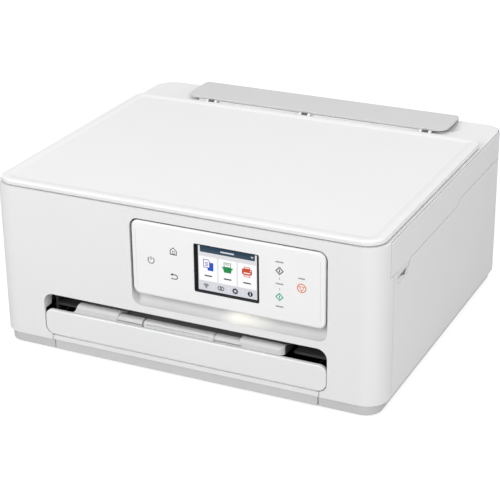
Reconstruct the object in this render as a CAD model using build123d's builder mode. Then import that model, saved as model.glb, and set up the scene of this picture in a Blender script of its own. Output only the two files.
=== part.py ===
"""Compact all-in-one inkjet printer: casing, paper cassette, print engine and flatbed scanner.

Millimetres. X runs to the right, Y to the back, Z up. The origin is under the middle, on the table.
"""
import os
from math import acos, atan2, cos, degrees, pi, radians, sin, sqrt, tan

from build123d import *

os.makedirs("parts", exist_ok=True)

# Casing
width = 375.0
depth = 328.0
foot_height = 1.4
foot_radius = 8.0
foot_inset_x = 35.0
foot_inset_y = 34.0
base_height = 9.6
base_inset_side = 4.0
base_inset_front = 1.2
base_wall = 3.5
base_floor = 2.0
base_draft = 5.0
casing_height = 145.0
corner_radius = 20.0
wall = 2.5
flange_width = 11.0
flange_thickness = 2.0
panel_gap = 0.5
lower_return = 25.0
upper_return = 17.0
rear_wrap = 24.0

# Parting line between the lower casing and the scanner unit
seam_height = 124.5
seam_rise = 5.0
seam_step = 183.0
seam_step_run = 14.0
lift_gap = 0.6
scoop_start = 33.0
scoop_length = 23.2
scoop_drop = 12.5
scoop_depth = 5.0
scoop_corner = 2.0
scoop_rear_run = 9.9
scoop_rear_corner = 8.0
scoop_gap = 0.5
scoop_tail = 5.0
scoop_shelf_gap = 0.8

# Operation panel
bay_centre = 46.2
bay_width = 185.6
bay_bottom = 64.0
bay_top = 146.6
bay_corner = 8.5
bay_depth = 14.5
bay_wall = 2.0
bay_slope_rise = 11.0
bay_slope_sag = 1.8
panel_clearance = 1.5
panel_height = 70.1
panel_thickness = 9.5
panel_skin = 2.2
panel_edge_round = 2.5
panel_back_thickness = 1.5
panel_back_clearance = 0.2
panel_axis_inset = 4.5
panel_pin_radius = 1.8
running_clearance = 0.06
window_width = 61.4
window_height = 45.0
window_rise = 35.5
window_corner = 1.5
display_width = 55.5
display_height = 41.5
display_set_back = 2.5
bezel_lining = 0.9
bezel_flange = 2.5
bezel_thickness = 1.8
bezel_clearance = 0.1
light_length = 42.0
light_centre = 65.0
light_width = 4.0
light_depth = 1.5
light_set_back = 1.5

# Output slot, cassette and output tray
slot_margin = 48.5
slot_top = 57.0
slot_corner = 9.5
slot_sleeve = 2.0
slot_sleeve_depth = 12.7
cassette_face_bottom = 16.3
cassette_face_top = 41.0
cassette_face_gap = 0.7
cassette_face_thickness = 3.5
cassette_top_corner = 7.0
cassette_edge_round = 1.2
strip_overlap = 4.0
strip_bottom_gap = 0.3
strip_groove = 0.9
strip_groove_depth = 2.8
cassette_side_room = 11.5
cassette_floor_height = 4.6
cassette_wall = 2.0
cassette_wall_height = 30.4
cassette_back_room = 16.0
toe_side_room = 2.5
toe_length = 20.0
toe_clearance = 0.9
guide_plate = 2.0
guide_clearance = 0.4
side_guide_inset = 18.5
side_guide_length = 120.0
side_guide_height = 22.0
side_guide_foot = 12.0
end_guide_width = 40.0
end_guide_height = 20.0
end_guide_room = 3.0
tray_centre = -3.5
tray_side_room = 37.0
tray_bottom = 41.6
tray_thickness = 2.6
tray_front_inset = 2.5
tray_roller_gap = 17.5
tray_bar = 6.5
tray_bar_rise = 2.8
tray_bar_roll = 3.6
tray_shoulder_rise = 5.0
tray_shoulder = 7.0
tray_shoulder_roll = 4.0
tray_shoulder_wall = 2.4
tray_ramp = 12.0
tray_corner = 6.0
tray_rear_bar = 16.0
tray_opening = 120.0
extension_thickness = 1.0
extension_tongue = 1.6
extension_clearance = 0.15
extension_end_room = 4.0
handle_width = 71.0
handle_gap = 0.4
handle_groove = 1.2
handle_groove_margin = 7.0

# Print engine
frame_inset = 5.0
frame_thickness = 2.5
frame_front_room = 16.0
frame_front_top = 60.0
frame_low_top = 53.8
frame_purge_top = 43.0
frame_chassis_top = 66.0
frame_rear_top = 62.0
frame_rear = 125.0
rail_width = 32.0
rail_thickness = 2.4
rail_drop = 0.3
feed_y = 40.0
roller_z = 46.0
roller_radius = 7.0
journal_radius = 3.0
transport_y = 108.0
transport_z = 52.0
transport_radius = 14.0
transport_count = 3
roller_end_gap = 6.0
gear_module = 0.8
feed_teeth = 48
eject_teeth = 48
idler_teeth = 42
pinion_teeth = 20
gear_width = 6.0
gear_outset = 26.0
gear_backlash = 0.16
gear_dedendum = 1.25
pressure_angle = 20.0
pinion_direction = -20.0
motor_radius = 11.0
motor_length = 16.0
motor_bracket = 1.5
motor_shaft_radius = 1.5
platen_gap = 0.8
platen_thickness = 5.0
platen_rib = 2.0
platen_rib_width = 1.6
platen_rib_pitch = 18.0
platen_left_room = 22.0
platen_purge_gap = 3.5
star_bar_depth = 14.0
star_bar_height = 4.0
star_radius = 3.8
star_points = 12
star_thickness = 1.0
star_hub_radius = 2.0
star_count = 6
star_end_room = 20.0
star_axle_radius = 0.9
star_lift = 0.4
hanger_width = 3.0
chassis_y = 66.0
chassis_thickness = 1.6
chassis_top = 118.0
chassis_side_room = 9.9
chassis_flange = 10.0
chassis_hole_count = 3
chassis_hole_length = 42.0
chassis_hole_pitch = 62.0
chassis_end_front = 34.0
shaft_y = 44.0
shaft_z = 78.0
shaft_radius = 4.0
shaft_overhang = 1.5
belt_z = 100.0
belt_front = 56.5
belt_width = 6.0
belt_thickness = 1.5
pulley_radius = 7.0
pulley_rim = 1.0
pulley_clearance = 0.05
motor_pulley_inset = 29.5
idler_pulley_inset = 23.5
drive_motor_radius = 14.0
drive_motor_length = 28.0
carriage_home_inset = 61.5
carriage_width = 84.0
carriage_front = -30.0
carriage_back = 36.0
carriage_bottom = 69.0
carriage_height = 34.0
carriage_wall = 2.0
carriage_boss_radius = 7.5
carriage_clamp = 18.0
clamp_clearance = 0.4
cartridge_width = 37.0
cartridge_height = 40.0
cartridge_clearance = 0.5
cartridge_round = 2.0
nozzle_width = 17.0
nozzle_length = 38.0
nozzle_bottom = 55.0
nozzle_clearance = 0.6
latch_length = 14.0
latch_height = 5.0
purge_width = 60.5
purge_side_room = 19.5
purge_half = 21.0
purge_height = 40.0
purge_cap_top = 53.0
purge_well = 6.0
purge_well_width = 20.0
pad_height = 12.0
pad_length = 100.0
chute_top = 124.0
chute_top_set_back = 1.7
chute_bottom_y = 75.0
chute_bottom = 64.0
chute_thickness = 2.0
chute_cheek_room = 6.7

# Hidden sides and electrics
access_side_room = 77.5
access_bottom = 30.0
access_height = 64.0
access_gap = 0.4
access_rib_count = 9
access_corner = 6.0
access_grip_width = 44.0
access_grip_height = 14.0
access_grip_depth = 1.4
inlet_inset = 39.5
inlet_z = 26.0
inlet_width = 24.0
inlet_height = 17.0
inlet_depth = 18.0
inlet_gap = 0.3
inlet_socket_width = 15.0
inlet_socket_height = 8.0
inlet_socket_depth = 11.0
inlet_pin_radius = 1.2
inlet_pin_pitch = 8.6
usb_inset = 39.5
usb_z = 40.0
usb_width = 12.0
usb_height = 11.0
usb_depth = 16.0
usb_hole_width = 8.4
usb_hole_height = 7.7
usb_hole_depth = 9.0
usb_tongue = 3.2
supply_width = 34.0
supply_motor_gap = 8.0
supply_height = 46.0
supply_round = 3.0
supply_rib_count = 7
board_inset = 13.0
board_thickness = 1.6
board_front_gap = 6.4
board_bottom = 24.0
board_height = 80.0
board_rear_room = 20.0
chip_size = 20.0
chip_height = 2.0
screw_head_radius = 3.0
screw_head_height = 1.0
screw_radius = 1.5
screw_length = 9.0
screw_inset_x = 16.0
screw_inset_y = 100.0

# Scanner unit
tub_floor = 131.0
tub_floor_thickness = 2.4
frame_plate = 2.6
frame_seat = 5.0
frame_gap = 0.9
case_lip = 0.7
case_lip_drop = 0.5
frame_front_gap = 3.2
hinge_radius = 5.5
hinge_pin_radius = 2.0
hinge_inset = 29.5
hinge_post_width = 4.0
hinge_post_gap = 0.6
hinge_ear = 4.0
hinge_head_radius = 3.3
hinge_post_drop = 40.0
hinge_notch_front = 8.0
hinge_notch_rise = 4.0
glass_side_room = 36.5
glass_rear_room = 10.5
glass_margin = 4.0
glass_thickness = 3.0
glass_lip = 1.0
glass_front = 37.0
sensor_width = 18.0
sensor_height = 13.0
sensor_home_inset = 35.5
sensor_gap = 0.6
sensor_overlap = 3.0
rail_radius = 3.0
rail_inset = 19.5
rail_y = -22.0
rail_post = 5.0

# Document cover
lid_side_inset = 4.0
lid_front_inset = 0.3
lid_rear_room = 60.5
lid_gap = 1.4
lid_thickness = 4.2
lid_front_corner = 18.0
lid_rear_corner = 12.0
lid_rim_round = 1.8
lid_ridge = 6.5
lid_dish_depth = 0.8
lid_dish_slope = 4.0
lid_dish_round = 14.0
lid_skin = 2.2
lid_rim = 4.0
pad_gap = 0.4
pad_margin = 1.2
lid_axis_back = 8.6
lid_axis_rise = 2.3
lid_knuckle_left_room = 82.5
lid_knuckle_middle = -2.0
lid_knuckle_right_room = 63.5
lid_knuckle_width = 6.0
lid_knuckle_gap = 0.4
lid_leaf_margin = 8.0
lid_leaf_rise = 0.7
lid_leaf_thickness = 1.6
lid_leaf_gap = 0.6
lid_barrel_radius = 1.9
lid_pin_radius = 0.9
lid_ear = 2.5

# Rear paper feed
well_side_room = 59.5
well_front = 18.8
well_rear_room = 8.0
hopper_wall = 2.0
hopper_throat = 15.0
hopper_throat_inset = 6.0
support_overlap = 11.0
support_centre = 3.5
support_front = 11.3
support_thickness = 2.0
support_corner = 12.0
support_rear_corner = 8.0
support_bead = 2.6
support_axis_inset = 2.8
support_axis_rise = 2.9
support_edge_round = 0.5
support_lug_place = 92.0
support_lug_width = 10.0
support_lug_radius = 1.6
support_overswing = 25.0
support_lug_gap = 0.35
support_pin_radius = 0.8
dish_width = 13.0
dish_depth = 1.7
dish_offset = 4.0
rear_guide_inset = 12.0
rear_guide_plate = 2.0
rear_guide_lift = 0.5
rear_guide_rise = 15.0
rear_guide_foot = 10.0

# Derived places
half = width / 2
front = -depth / 2
back = depth / 2
slot_width = width - 2 * slot_margin
cassette_width = slot_width - 2 * cassette_side_room
strip_width = cassette_width + 2 * strip_overlap
toe_width = cassette_width + 2 * toe_side_room
side_guide_place = cassette_width / 2 - side_guide_inset
tray_width = slot_width - 2 * tray_side_room
chassis_half = half - chassis_side_room
motor_pulley_x = motor_pulley_inset - half
idler_pulley_x = half - idler_pulley_inset
carriage_home = half - carriage_home_inset
purge_right = half - purge_side_room
purge_left = purge_right - purge_width
access_width = width - 2 * access_side_room
inlet_x = inlet_inset - half
usb_x = half - usb_inset
hinge_place = half - hinge_inset
casing_bottom = foot_height + base_height
deck = casing_bottom + casing_height
seam_rear = seam_height + seam_rise
seam_step_y = front + seam_step
hinge_y = back - hinge_radius
hinge_z = seam_rear + lift_gap + hinge_radius
panel_top = bay_top - panel_clearance
panel_bottom = panel_top - panel_height
panel_width = bay_width - 2 * panel_clearance
panel_axis_y = front + panel_axis_inset
panel_axis_z = panel_top - panel_axis_inset
panel_back = front + panel_thickness
window_z = panel_bottom + window_rise
bay_middle = (bay_bottom + bay_top) / 2
bay_height = bay_top - bay_bottom
slot_bottom = cassette_face_bottom - cassette_face_gap
slot_height = slot_top - slot_bottom
frame_inner = slot_width / 2 - frame_inset
frame_outer = frame_inner + frame_thickness
platen_left = frame_inner - platen_left_room
platen_right = purge_left - platen_purge_gap
frame_front = front + frame_front_room
floor_top = foot_height + base_floor
cassette_front = front + cassette_face_thickness
cassette_back = back - cassette_back_room
tray_top = tray_bottom + tray_thickness
tray_front = front + tray_front_inset
extension_z = tray_bottom + (tray_thickness - extension_thickness) / 2
gear_left = -frame_outer - gear_outset
gear_right = gear_left + gear_width
feed_radius = gear_module * feed_teeth / 2
idler_radius = gear_module * idler_teeth / 2
eject_radius = gear_module * eject_teeth / 2
pinion_radius = gear_module * pinion_teeth / 2
idler_y = feed_y - feed_radius - idler_radius
eject_y = idler_y - idler_radius - eject_radius
tray_back = eject_y - tray_roller_gap
star_pitch = 2 * (frame_inner - star_end_room) / star_count
pinion_y = feed_y + (feed_radius + pinion_radius) * cos(radians(pinion_direction))
pinion_z = roller_z + (feed_radius + pinion_radius) * sin(radians(pinion_direction))
plate_bottom = deck - frame_plate
glass_top = deck - glass_lip
tub_top = tub_floor + tub_floor_thickness
lid_front = front + lid_front_inset
lid_rear = back - lid_rear_room
lid_depth = lid_rear - lid_front
glass_width = width - 2 * glass_side_room
glass_y0 = front + glass_front
glass_y1 = lid_rear - glass_rear_room
rail_half = half - rail_inset
sensor_home = sensor_home_inset - half
lid_bottom = deck + lid_gap
lid_top = lid_bottom + lid_thickness
lid_axis_y = lid_rear + lid_axis_back
lid_axis_z = deck + lid_axis_rise
lid_knuckles = (lid_knuckle_left_room - half, lid_knuckle_middle, half - lid_knuckle_right_room)
lid_leaf_x0 = lid_knuckles[0] - lid_leaf_margin
lid_leaf_x1 = lid_knuckles[-1] + lid_leaf_margin
lid_leaf_bottom = deck + lid_leaf_rise
lid_leaf_top = lid_leaf_bottom + lid_leaf_thickness
lid_leaf_y1 = lid_axis_y - lid_barrel_radius - lid_leaf_gap
well_y0 = lid_rear + well_front
well_half = half - well_side_room
support_half = well_half + support_overlap
hopper_half_throat = well_half - hopper_throat_inset
rear_guide_place = hopper_half_throat - rear_guide_inset
chute_top_y = well_y0 + chute_top_set_back
chute_cheek_back = well_y0 + chute_cheek_room
well_y1 = back - well_rear_room
support_axis_y = back - support_axis_inset
support_axis_z = deck + support_axis_rise
support_top = support_axis_z + support_bead
support_y0 = lid_rear + support_front


def keep(piece, name):
    """Label a finished piece and write it as a STEP file of its own."""
    piece.part.label = name
    export_step(piece.part, f"parts/{name}.step")


def block(x0, x1, y0, y1, z0, z1, mode=Mode.ADD):
    """A box given by its six limits."""
    with Locations(((x0 + x1) / 2, (y0 + y1) / 2, (z0 + z1) / 2)):
        Box(x1 - x0, y1 - y0, z1 - z0, mode=mode)


def rod_x(radius, x0, x1, y, z, mode=Mode.ADD):
    """A round bar along X."""
    with Locations(Location(((x0 + x1) / 2, y, z), (0, 90, 0))):
        Cylinder(radius, x1 - x0, mode=mode)


def rod_y(radius, x, y0, y1, z, mode=Mode.ADD):
    """A round bar along Y."""
    with Locations(Location((x, (y0 + y1) / 2, z), (90, 0, 0))):
        Cylinder(radius, y1 - y0, mode=mode)


def rod_z(radius, x, y, z0, z1, mode=Mode.ADD):
    """A round bar along Z."""
    with Locations((x, y, (z0 + z1) / 2)):
        Cylinder(radius, z1 - z0, mode=mode)


def front_plane(y):
    """A plane that faces the front, through y, with X to the right and Z up."""
    return Plane.XZ.offset(-y)


def side_slab(points, x0, x1, mode=Mode.ADD):
    """A straight-sided outline in Y and Z, made solid between two X places."""
    with BuildSketch(Plane.YZ.offset(x0)) as outline:
        with BuildLine():
            Polyline(*points, close=True)
        make_face()
    extrude(outline.sketch, amount=x1 - x0, mode=mode)


def scoop_outline(gap, tail):
    """The finger scoop's outline in Y and Z, drawn in by a gap, with a straight tail below it."""
    y0 = front + scoop_start
    y1 = y0 + scoop_length
    bottom = seam_height - scoop_drop
    with BuildSketch() as outline:
        with BuildLine():
            Polyline(
                (y0, deck), (y0, bottom), (y1, bottom), (y1 + scoop_rear_run, seam_height),
                (y1 + scoop_rear_run, deck), close=True,
            )
        make_face()
        low = outline.vertices().group_by(Axis.Y)[0].sort_by(Axis.X)
        fillet(low[0], scoop_corner)
        fillet(low[-1], scoop_rear_corner)
        if gap:
            offset(amount=-gap, kind=Kind.INTERSECTION, mode=Mode.REPLACE)
        if tail:
            with Locations((y0 + scoop_length / 2, bottom)):
                Rectangle(scoop_length - 2 * scoop_corner, 2 * tail)
    return outline.sketch


def rolled_bar(x0, x1, length, top, roll):
    """A bar along the front of the output tray, its upper front edge rolled over."""
    with BuildSketch(Plane.YZ.offset(x0)) as profile:
        with Locations((tray_front + length / 2, (tray_bottom + top) / 2)):
            Rectangle(length, top - tray_bottom)
        fillet(profile.vertices().group_by(Axis.Y)[-1].sort_by(Axis.X)[0], roll)
    extrude(profile.sketch, amount=x1 - x0)


def plan_outline(inset, mode=Mode.ADD):
    """Rounded outline of the casing seen from above, set in evenly."""
    RectangleRounded(width - 2 * inset, depth - 2 * inset, corner_radius - inset, mode=mode)


def casing_band(thickness, z0, z1, x0, x1, y0, y1, mode=Mode.ADD):
    """Part of the casing's outer wall, as thick as asked, between limits in X, Y and Z."""
    with BuildSketch(Plane.XY.offset(z0)) as band:
        plan_outline(0)
        plan_outline(thickness, mode=Mode.SUBTRACT)
        with Locations(((x0 + x1) / 2, (y0 + y1) / 2)):
            Rectangle(x1 - x0, y1 - y0, mode=Mode.INTERSECT)
    extrude(band.sketch, amount=z1 - z0, mode=mode)


def lower_trim():
    """Cut away what is above the stepped parting line."""
    above = deck + wall
    with BuildSketch(Plane.YZ) as area:
        with BuildLine():
            Polyline(
                (front, seam_height),
                (seam_step_y, seam_height),
                (seam_step_y + seam_step_run, seam_rear),
                (back, seam_rear),
                (back, above),
                (front, above),
                close=True,
            )
        make_face()
    extrude(area.sketch, amount=half, both=True, mode=Mode.SUBTRACT)


def upper_trim():
    """Keep what is above the parting line, rounded about the hinge at the rear lower edge."""
    low = seam_height + lift_gap
    high = seam_rear + lift_gap
    with BuildSketch(Plane.YZ) as area:
        with BuildLine():
            Polyline(
                (back, hinge_z),
                (back, deck),
                (front, deck),
                (front, low),
                (seam_step_y, low),
                (seam_step_y + seam_step_run, high),
                (hinge_y, high),
            )
            RadiusArc((hinge_y, high), (back, hinge_z), -hinge_radius)
        make_face()
    extrude(area.sketch, amount=half, both=True, mode=Mode.INTERSECT)


def gear_points(teeth, phase):
    """Outline of an involute gear about its centre, with three points up each flank."""
    pitch_r = gear_module * teeth / 2
    base_r = pitch_r * cos(radians(pressure_angle))
    tip_r = pitch_r + gear_module
    root_r = pitch_r - gear_dedendum * gear_module
    half_tooth = (pi * gear_module / 2 - gear_backlash) / 2 / pitch_r

    def flank(radius):
        angle = acos(min(1.0, base_r / radius))
        pitch_angle = radians(pressure_angle)
        return half_tooth + (tan(pitch_angle) - pitch_angle) - (tan(angle) - angle)

    low_r = max(root_r, base_r)
    radii = (root_r, (low_r + pitch_r) / 2, pitch_r, tip_r)
    angles = (flank(low_r), flank(radii[1]), half_tooth, flank(tip_r))
    points = []
    for tooth in range(teeth):
        middle = 2 * pi * tooth / teeth + radians(phase)
        rising = [(r, middle - a) for r, a in zip(radii, angles)]
        falling = [(r, middle + a) for r, a in zip(reversed(radii), reversed(angles))]
        points += [(r * cos(a), r * sin(a)) for r, a in rising + falling]
    return points


def gear(teeth, phase, y, z, bore, hub):
    """A spur gear in the gear plane, with a hub on its inner side, bored to suit its shaft."""
    place = Plane((gear_left, y, z), x_dir=(0, 1, 0), z_dir=(1, 0, 0))
    with BuildSketch(place) as outline:
        with BuildLine():
            Polyline(*gear_points(teeth, phase), close=True)
        make_face()
        Circle(bore, mode=Mode.SUBTRACT)
    extrude(outline.sketch, amount=gear_width)
    with BuildSketch(place.offset(gear_width)) as collar:
        Circle(hub)
        Circle(bore, mode=Mode.SUBTRACT)
    extrude(collar.sketch, amount=gear_width / 2)


def mesh_phase(direction, teeth, phase, next_teeth):
    """Turn of the next gear, in degrees, that sets its gap on this gear's tooth."""
    pitch = 360 / teeth
    ahead = (direction - phase) % pitch
    gap = direction + 180 + ahead * teeth / next_teeth
    return (gap + 180 / next_teeth) % (360 / next_teeth)


# Base tray with a way in for the cassette
with BuildPart() as base_tray:
    with BuildSketch(Plane.XY.offset(casing_bottom)):
        RectangleRounded(
            width - 2 * base_inset_side, depth - 2 * base_inset_front, corner_radius - base_inset_side
        )
    extrude(amount=-base_height, taper=base_draft)
    with BuildSketch(Plane.XY.offset(floor_top)):
        RectangleRounded(
            width - 2 * (base_inset_side + base_wall),
            depth - 2 * (base_inset_front + base_wall),
            corner_radius - base_inset_side - base_wall,
        )
    extrude(amount=base_height, mode=Mode.SUBTRACT)
    toe_back = front + base_inset_front + toe_length + toe_clearance
    toe_half = toe_width / 2 + toe_clearance
    block(-toe_half, toe_half, front, toe_back, 0, casing_bottom, Mode.SUBTRACT)
    with Locations((0, 0, foot_height)):
        with GridLocations(width - 2 * screw_inset_x, depth - 2 * screw_inset_y, 2, 2):
            Cylinder(screw_radius + running_clearance, 2 * base_height, mode=Mode.SUBTRACT)
keep(base_tray, "base_tray")

with BuildPart() as rubber_feet:
    with Locations((0, 0, foot_height / 2)):
        with GridLocations(width - 2 * foot_inset_x, depth - 2 * foot_inset_y, 2, 2):
            Cylinder(foot_radius, foot_height)
    chamfer(rubber_feet.edges().group_by(Axis.Z)[0], foot_height / 4)
keep(rubber_feet, "rubber_feet")

with BuildPart() as case_screws:
    with GridLocations(width - 2 * screw_inset_x, depth - 2 * screw_inset_y, 2, 2):
        with Locations((0, 0, foot_height - screw_head_height / 2)):
            Cylinder(screw_head_radius, screw_head_height)
        with Locations((0, 0, foot_height + screw_length / 2)):
            Cylinder(screw_radius, screw_length)
keep(case_screws, "case_screws")

# Front panel: wraps both front corners, open for the operation panel and for the paper
with BuildPart() as front_panel:
    casing_band(wall, casing_bottom, deck, -half, half, front, front + lower_return)
    casing_band(
        flange_width, casing_bottom, casing_bottom + flange_thickness,
        -half, half, front, front + lower_return,
    )
    block(-half, half, front + upper_return, front + lower_return, seam_height, deck, Mode.SUBTRACT)
    with BuildSketch(front_plane(front)):
        with Locations((0, (slot_bottom + slot_top) / 2)):
            RectangleRounded(
                slot_width + 2 * slot_sleeve, slot_height + 2 * slot_sleeve, slot_corner + slot_sleeve
            )
        with Locations((0, cassette_face_top + slot_top / 2)):
            Rectangle(width, slot_top, mode=Mode.INTERSECT)
    extrude(amount=-slot_sleeve_depth)
    with BuildSketch(front_plane(front)):
        with Locations((0, (slot_bottom + slot_top) / 2)):
            RectangleRounded(slot_width, slot_height, slot_corner)
        with Locations((0, (casing_bottom + slot_bottom) / 2)):
            Rectangle(strip_width + 2 * cassette_face_gap, slot_bottom - casing_bottom + slot_corner / 2)
        with Locations((bay_centre, bay_middle)):
            RectangleRounded(bay_width, bay_height, bay_corner)
    extrude(amount=-slot_sleeve_depth, mode=Mode.SUBTRACT)
keep(front_panel, "front_panel")

# Recess behind the operation panel, with a hollowed slope below for the fingers
with BuildPart() as panel_bay:
    with BuildSketch(front_plane(front + wall)):
        with Locations((bay_centre, bay_middle)):
            RectangleRounded(bay_width + 2 * bay_wall, bay_height + 2 * bay_wall, bay_corner + bay_wall)
    extrude(amount=-(bay_depth - wall + bay_wall))
    with BuildSketch(front_plane(front)):
        with Locations((bay_centre, bay_middle)):
            RectangleRounded(bay_width, bay_height, bay_corner)
    extrude(amount=-bay_depth, mode=Mode.SUBTRACT)
    with BuildSketch(Plane.YZ.offset(bay_centre - bay_width / 2)):
        with BuildLine():
            slope_foot = (front + wall, bay_bottom)
            slope_head = (front + bay_depth, bay_bottom + bay_slope_rise)
            slope_middle = (
                (slope_foot[0] + slope_head[0]) / 2 + bay_slope_sag,
                (slope_foot[1] + slope_head[1]) / 2 - bay_slope_sag,
            )
            ThreePointArc(slope_foot, slope_middle, slope_head)
            Polyline(slope_head, (front + bay_depth, bay_bottom), slope_foot)
        make_face()
    extrude(amount=bay_width)
    rod_x(
        panel_pin_radius + running_clearance,
        bay_centre - bay_width,
        bay_centre + bay_width,
        panel_axis_y,
        panel_axis_z,
        Mode.SUBTRACT,
    )
keep(panel_bay, "panel_bay")

# Side covers with a finger scoop under the parting line
for side, side_name in ((-1, "left_side_cover"), (1, "right_side_cover")):
    inner_x = half - rear_wrap
    x0, x1 = sorted((side * inner_x, side * half))
    cover_y0 = front + lower_return + panel_gap
    with BuildPart() as side_cover:
        casing_band(wall, casing_bottom, deck, x0, x1, cover_y0, back)
        casing_band(flange_width, casing_bottom, casing_bottom + flange_thickness, x0, x1, cover_y0, back)
        lower_trim()
        notch = Plane.YZ.offset(side * (half - rear_wrap / 2)) * scoop_outline(0, 0)
        extrude(notch, rear_wrap / 2, both=True, mode=Mode.SUBTRACT)
        shelf_x0, shelf_x1 = sorted((side * (half - scoop_depth + scoop_shelf_gap), side * (half - wall)))
        shelf_y0 = front + scoop_start
        shelf_top = seam_height - scoop_drop
        block(shelf_x0, shelf_x1, shelf_y0, shelf_y0 + scoop_length, shelf_top - wall, shelf_top)
    keep(side_cover, side_name)

# Rear panel with the access opening and the sockets
rear_half = half - rear_wrap - panel_gap
with BuildPart() as rear_panel:
    casing_band(wall, casing_bottom, seam_rear, -rear_half, rear_half, 0, back)
    casing_band(
        flange_width, casing_bottom, casing_bottom + flange_thickness, -rear_half, rear_half, 0, back
    )
    with BuildSketch(front_plane(back)):
        with Locations((0, access_bottom + access_height / 2)):
            RectangleRounded(access_width, access_height, access_corner)
        with Locations((inlet_x, inlet_z)):
            Rectangle(inlet_width, inlet_height)
        with Locations((usb_x, usb_z)):
            Rectangle(usb_width, usb_height)
    extrude(amount=wall, mode=Mode.SUBTRACT)
keep(rear_panel, "rear_panel")

with BuildPart() as rear_access_cover:
    cover_centre = access_bottom + access_height / 2
    with BuildSketch(front_plane(back)):
        with Locations((0, cover_centre)):
            RectangleRounded(access_width - 2 * access_gap, access_height - 2 * access_gap, access_corner)
    extrude(amount=wall)
    with BuildSketch(front_plane(back)):
        with Locations((0, cover_centre + access_height / 4)):
            SlotOverall(access_grip_width, access_grip_height)
    extrude(amount=access_grip_depth, mode=Mode.SUBTRACT)
    with BuildSketch(front_plane(back - wall)):
        with Locations((0, cover_centre)):
            with GridLocations(platen_rib_pitch, 1, access_rib_count, 1):
                Rectangle(platen_rib_width, access_height - 2 * access_corner)
    extrude(amount=cassette_back_room / 2)
keep(rear_access_cover, "rear_access_cover")

with BuildPart() as mains_inlet:
    inlet_back = back - wall / 2
    block(
        inlet_x - inlet_width / 2 + inlet_gap,
        inlet_x + inlet_width / 2 - inlet_gap,
        inlet_back - inlet_depth,
        inlet_back,
        inlet_z - inlet_height / 2 + inlet_gap,
        inlet_z + inlet_height / 2 - inlet_gap,
    )
    with BuildSketch(front_plane(inlet_back)):
        with Locations((inlet_x, inlet_z)):
            SlotOverall(inlet_socket_width, inlet_socket_height)
    extrude(amount=inlet_socket_depth, mode=Mode.SUBTRACT)
    for offset_x in (-inlet_pin_pitch / 2, inlet_pin_pitch / 2):
        rod_y(
            inlet_pin_radius,
            inlet_x + offset_x,
            inlet_back - inlet_socket_depth - wall,
            inlet_back - wall,
            inlet_z,
        )
keep(mains_inlet, "mains_inlet")

with BuildPart() as usb_socket:
    usb_back = back - wall / 2
    block(
        usb_x - usb_width / 2 + inlet_gap,
        usb_x + usb_width / 2 - inlet_gap,
        usb_back - usb_depth,
        usb_back,
        usb_z - usb_height / 2 + inlet_gap,
        usb_z + usb_height / 2 - inlet_gap,
    )
    with BuildSketch(front_plane(usb_back)):
        with Locations((usb_x, usb_z)):
            Rectangle(usb_hole_width, usb_hole_height)
            Rectangle(usb_hole_width - usb_tongue, usb_tongue, mode=Mode.SUBTRACT)
    extrude(amount=usb_hole_depth, mode=Mode.SUBTRACT)
keep(usb_socket, "usb_socket")

with BuildPart() as power_supply:
    supply_y0 = pinion_y + motor_radius + supply_motor_gap
    supply_y1 = back - wall / 2 - inlet_depth
    supply_x1 = -frame_outer - 2 * wall
    block(
        supply_x1 - supply_width,
        supply_x1,
        supply_y0,
        supply_y1,
        floor_top,
        floor_top + supply_height,
    )
    fillet(power_supply.edges().filter_by(Axis.Z), supply_round)
    rib_pitch = (supply_y1 - supply_y0) / (supply_rib_count + 1)
    with BuildSketch(Plane.XY.offset(floor_top + supply_height)):
        with Locations((supply_x1 - supply_width / 2, (supply_y0 + supply_y1) / 2)):
            with GridLocations(1, rib_pitch, 1, supply_rib_count):
                Rectangle(supply_width / 2, rib_pitch / 3)
    extrude(amount=-supply_round, mode=Mode.SUBTRACT)
keep(power_supply, "power_supply")

with BuildPart() as logic_board:
    board_x = half - board_inset
    board_y1 = back - board_rear_room
    board_y0 = chassis_y + chassis_thickness + board_front_gap
    block(board_x, board_x + board_thickness, board_y0, board_y1, board_bottom, board_bottom + board_height)
    with BuildSketch(Plane.YZ.offset(board_x)):
        with Locations(((board_y0 + board_y1) / 2, board_bottom + board_height / 2)):
            with GridLocations(2 * chip_size, 2 * chip_size, 2, 2):
                Rectangle(chip_size, chip_size)
    extrude(amount=-chip_height)
    block(
        board_x, board_x + board_thickness, board_y0, board_y0 + chip_size, floor_top, board_bottom,
    )
    block(
        board_x, board_x + board_thickness, board_y1 - chip_size, board_y1, floor_top, board_bottom,
    )
keep(logic_board, "logic_board")

# Side frames: carry the rollers, the output tray and the chassis
with BuildPart() as side_frames:
    outline = (
        (frame_front, floor_top),
        (frame_rear, floor_top),
        (frame_rear, frame_rear_top),
        (chassis_y + 2 * wall, frame_rear_top),
        (chassis_y + 2 * wall, frame_chassis_top),
        (chassis_y - 4 * wall, frame_chassis_top),
        (shaft_y + 2 * journal_radius, frame_low_top),
        (eject_y + star_bar_depth / 2 + journal_radius, frame_low_top),
        (eject_y + star_bar_depth / 2, frame_front_top),
        (frame_front, frame_front_top),
    )
    for x0 in (-frame_outer, frame_inner):
        side_slab(outline, x0, x0 + frame_thickness)
    block(
        frame_inner - wall,
        frame_outer + wall,
        -purge_half - wall,
        purge_half + wall,
        frame_purge_top,
        frame_front_top,
        Mode.SUBTRACT,
    )
    rail_top = tray_bottom - rail_drop
    for side in (-1, 1):
        x0, x1 = sorted((side * frame_inner, side * (frame_inner - rail_width)))
        block(x0, x1, frame_front, tray_back, rail_top - rail_thickness, rail_top)
    for axis_y in (feed_y, eject_y):
        rod_x(journal_radius + running_clearance, -half, half, axis_y, roller_z, Mode.SUBTRACT)
    rod_x(journal_radius + running_clearance, -half, half, transport_y, transport_z, Mode.SUBTRACT)
    rod_x(journal_radius, gear_left, -frame_outer, idler_y, roller_z)
keep(side_frames, "side_frames")

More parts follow.
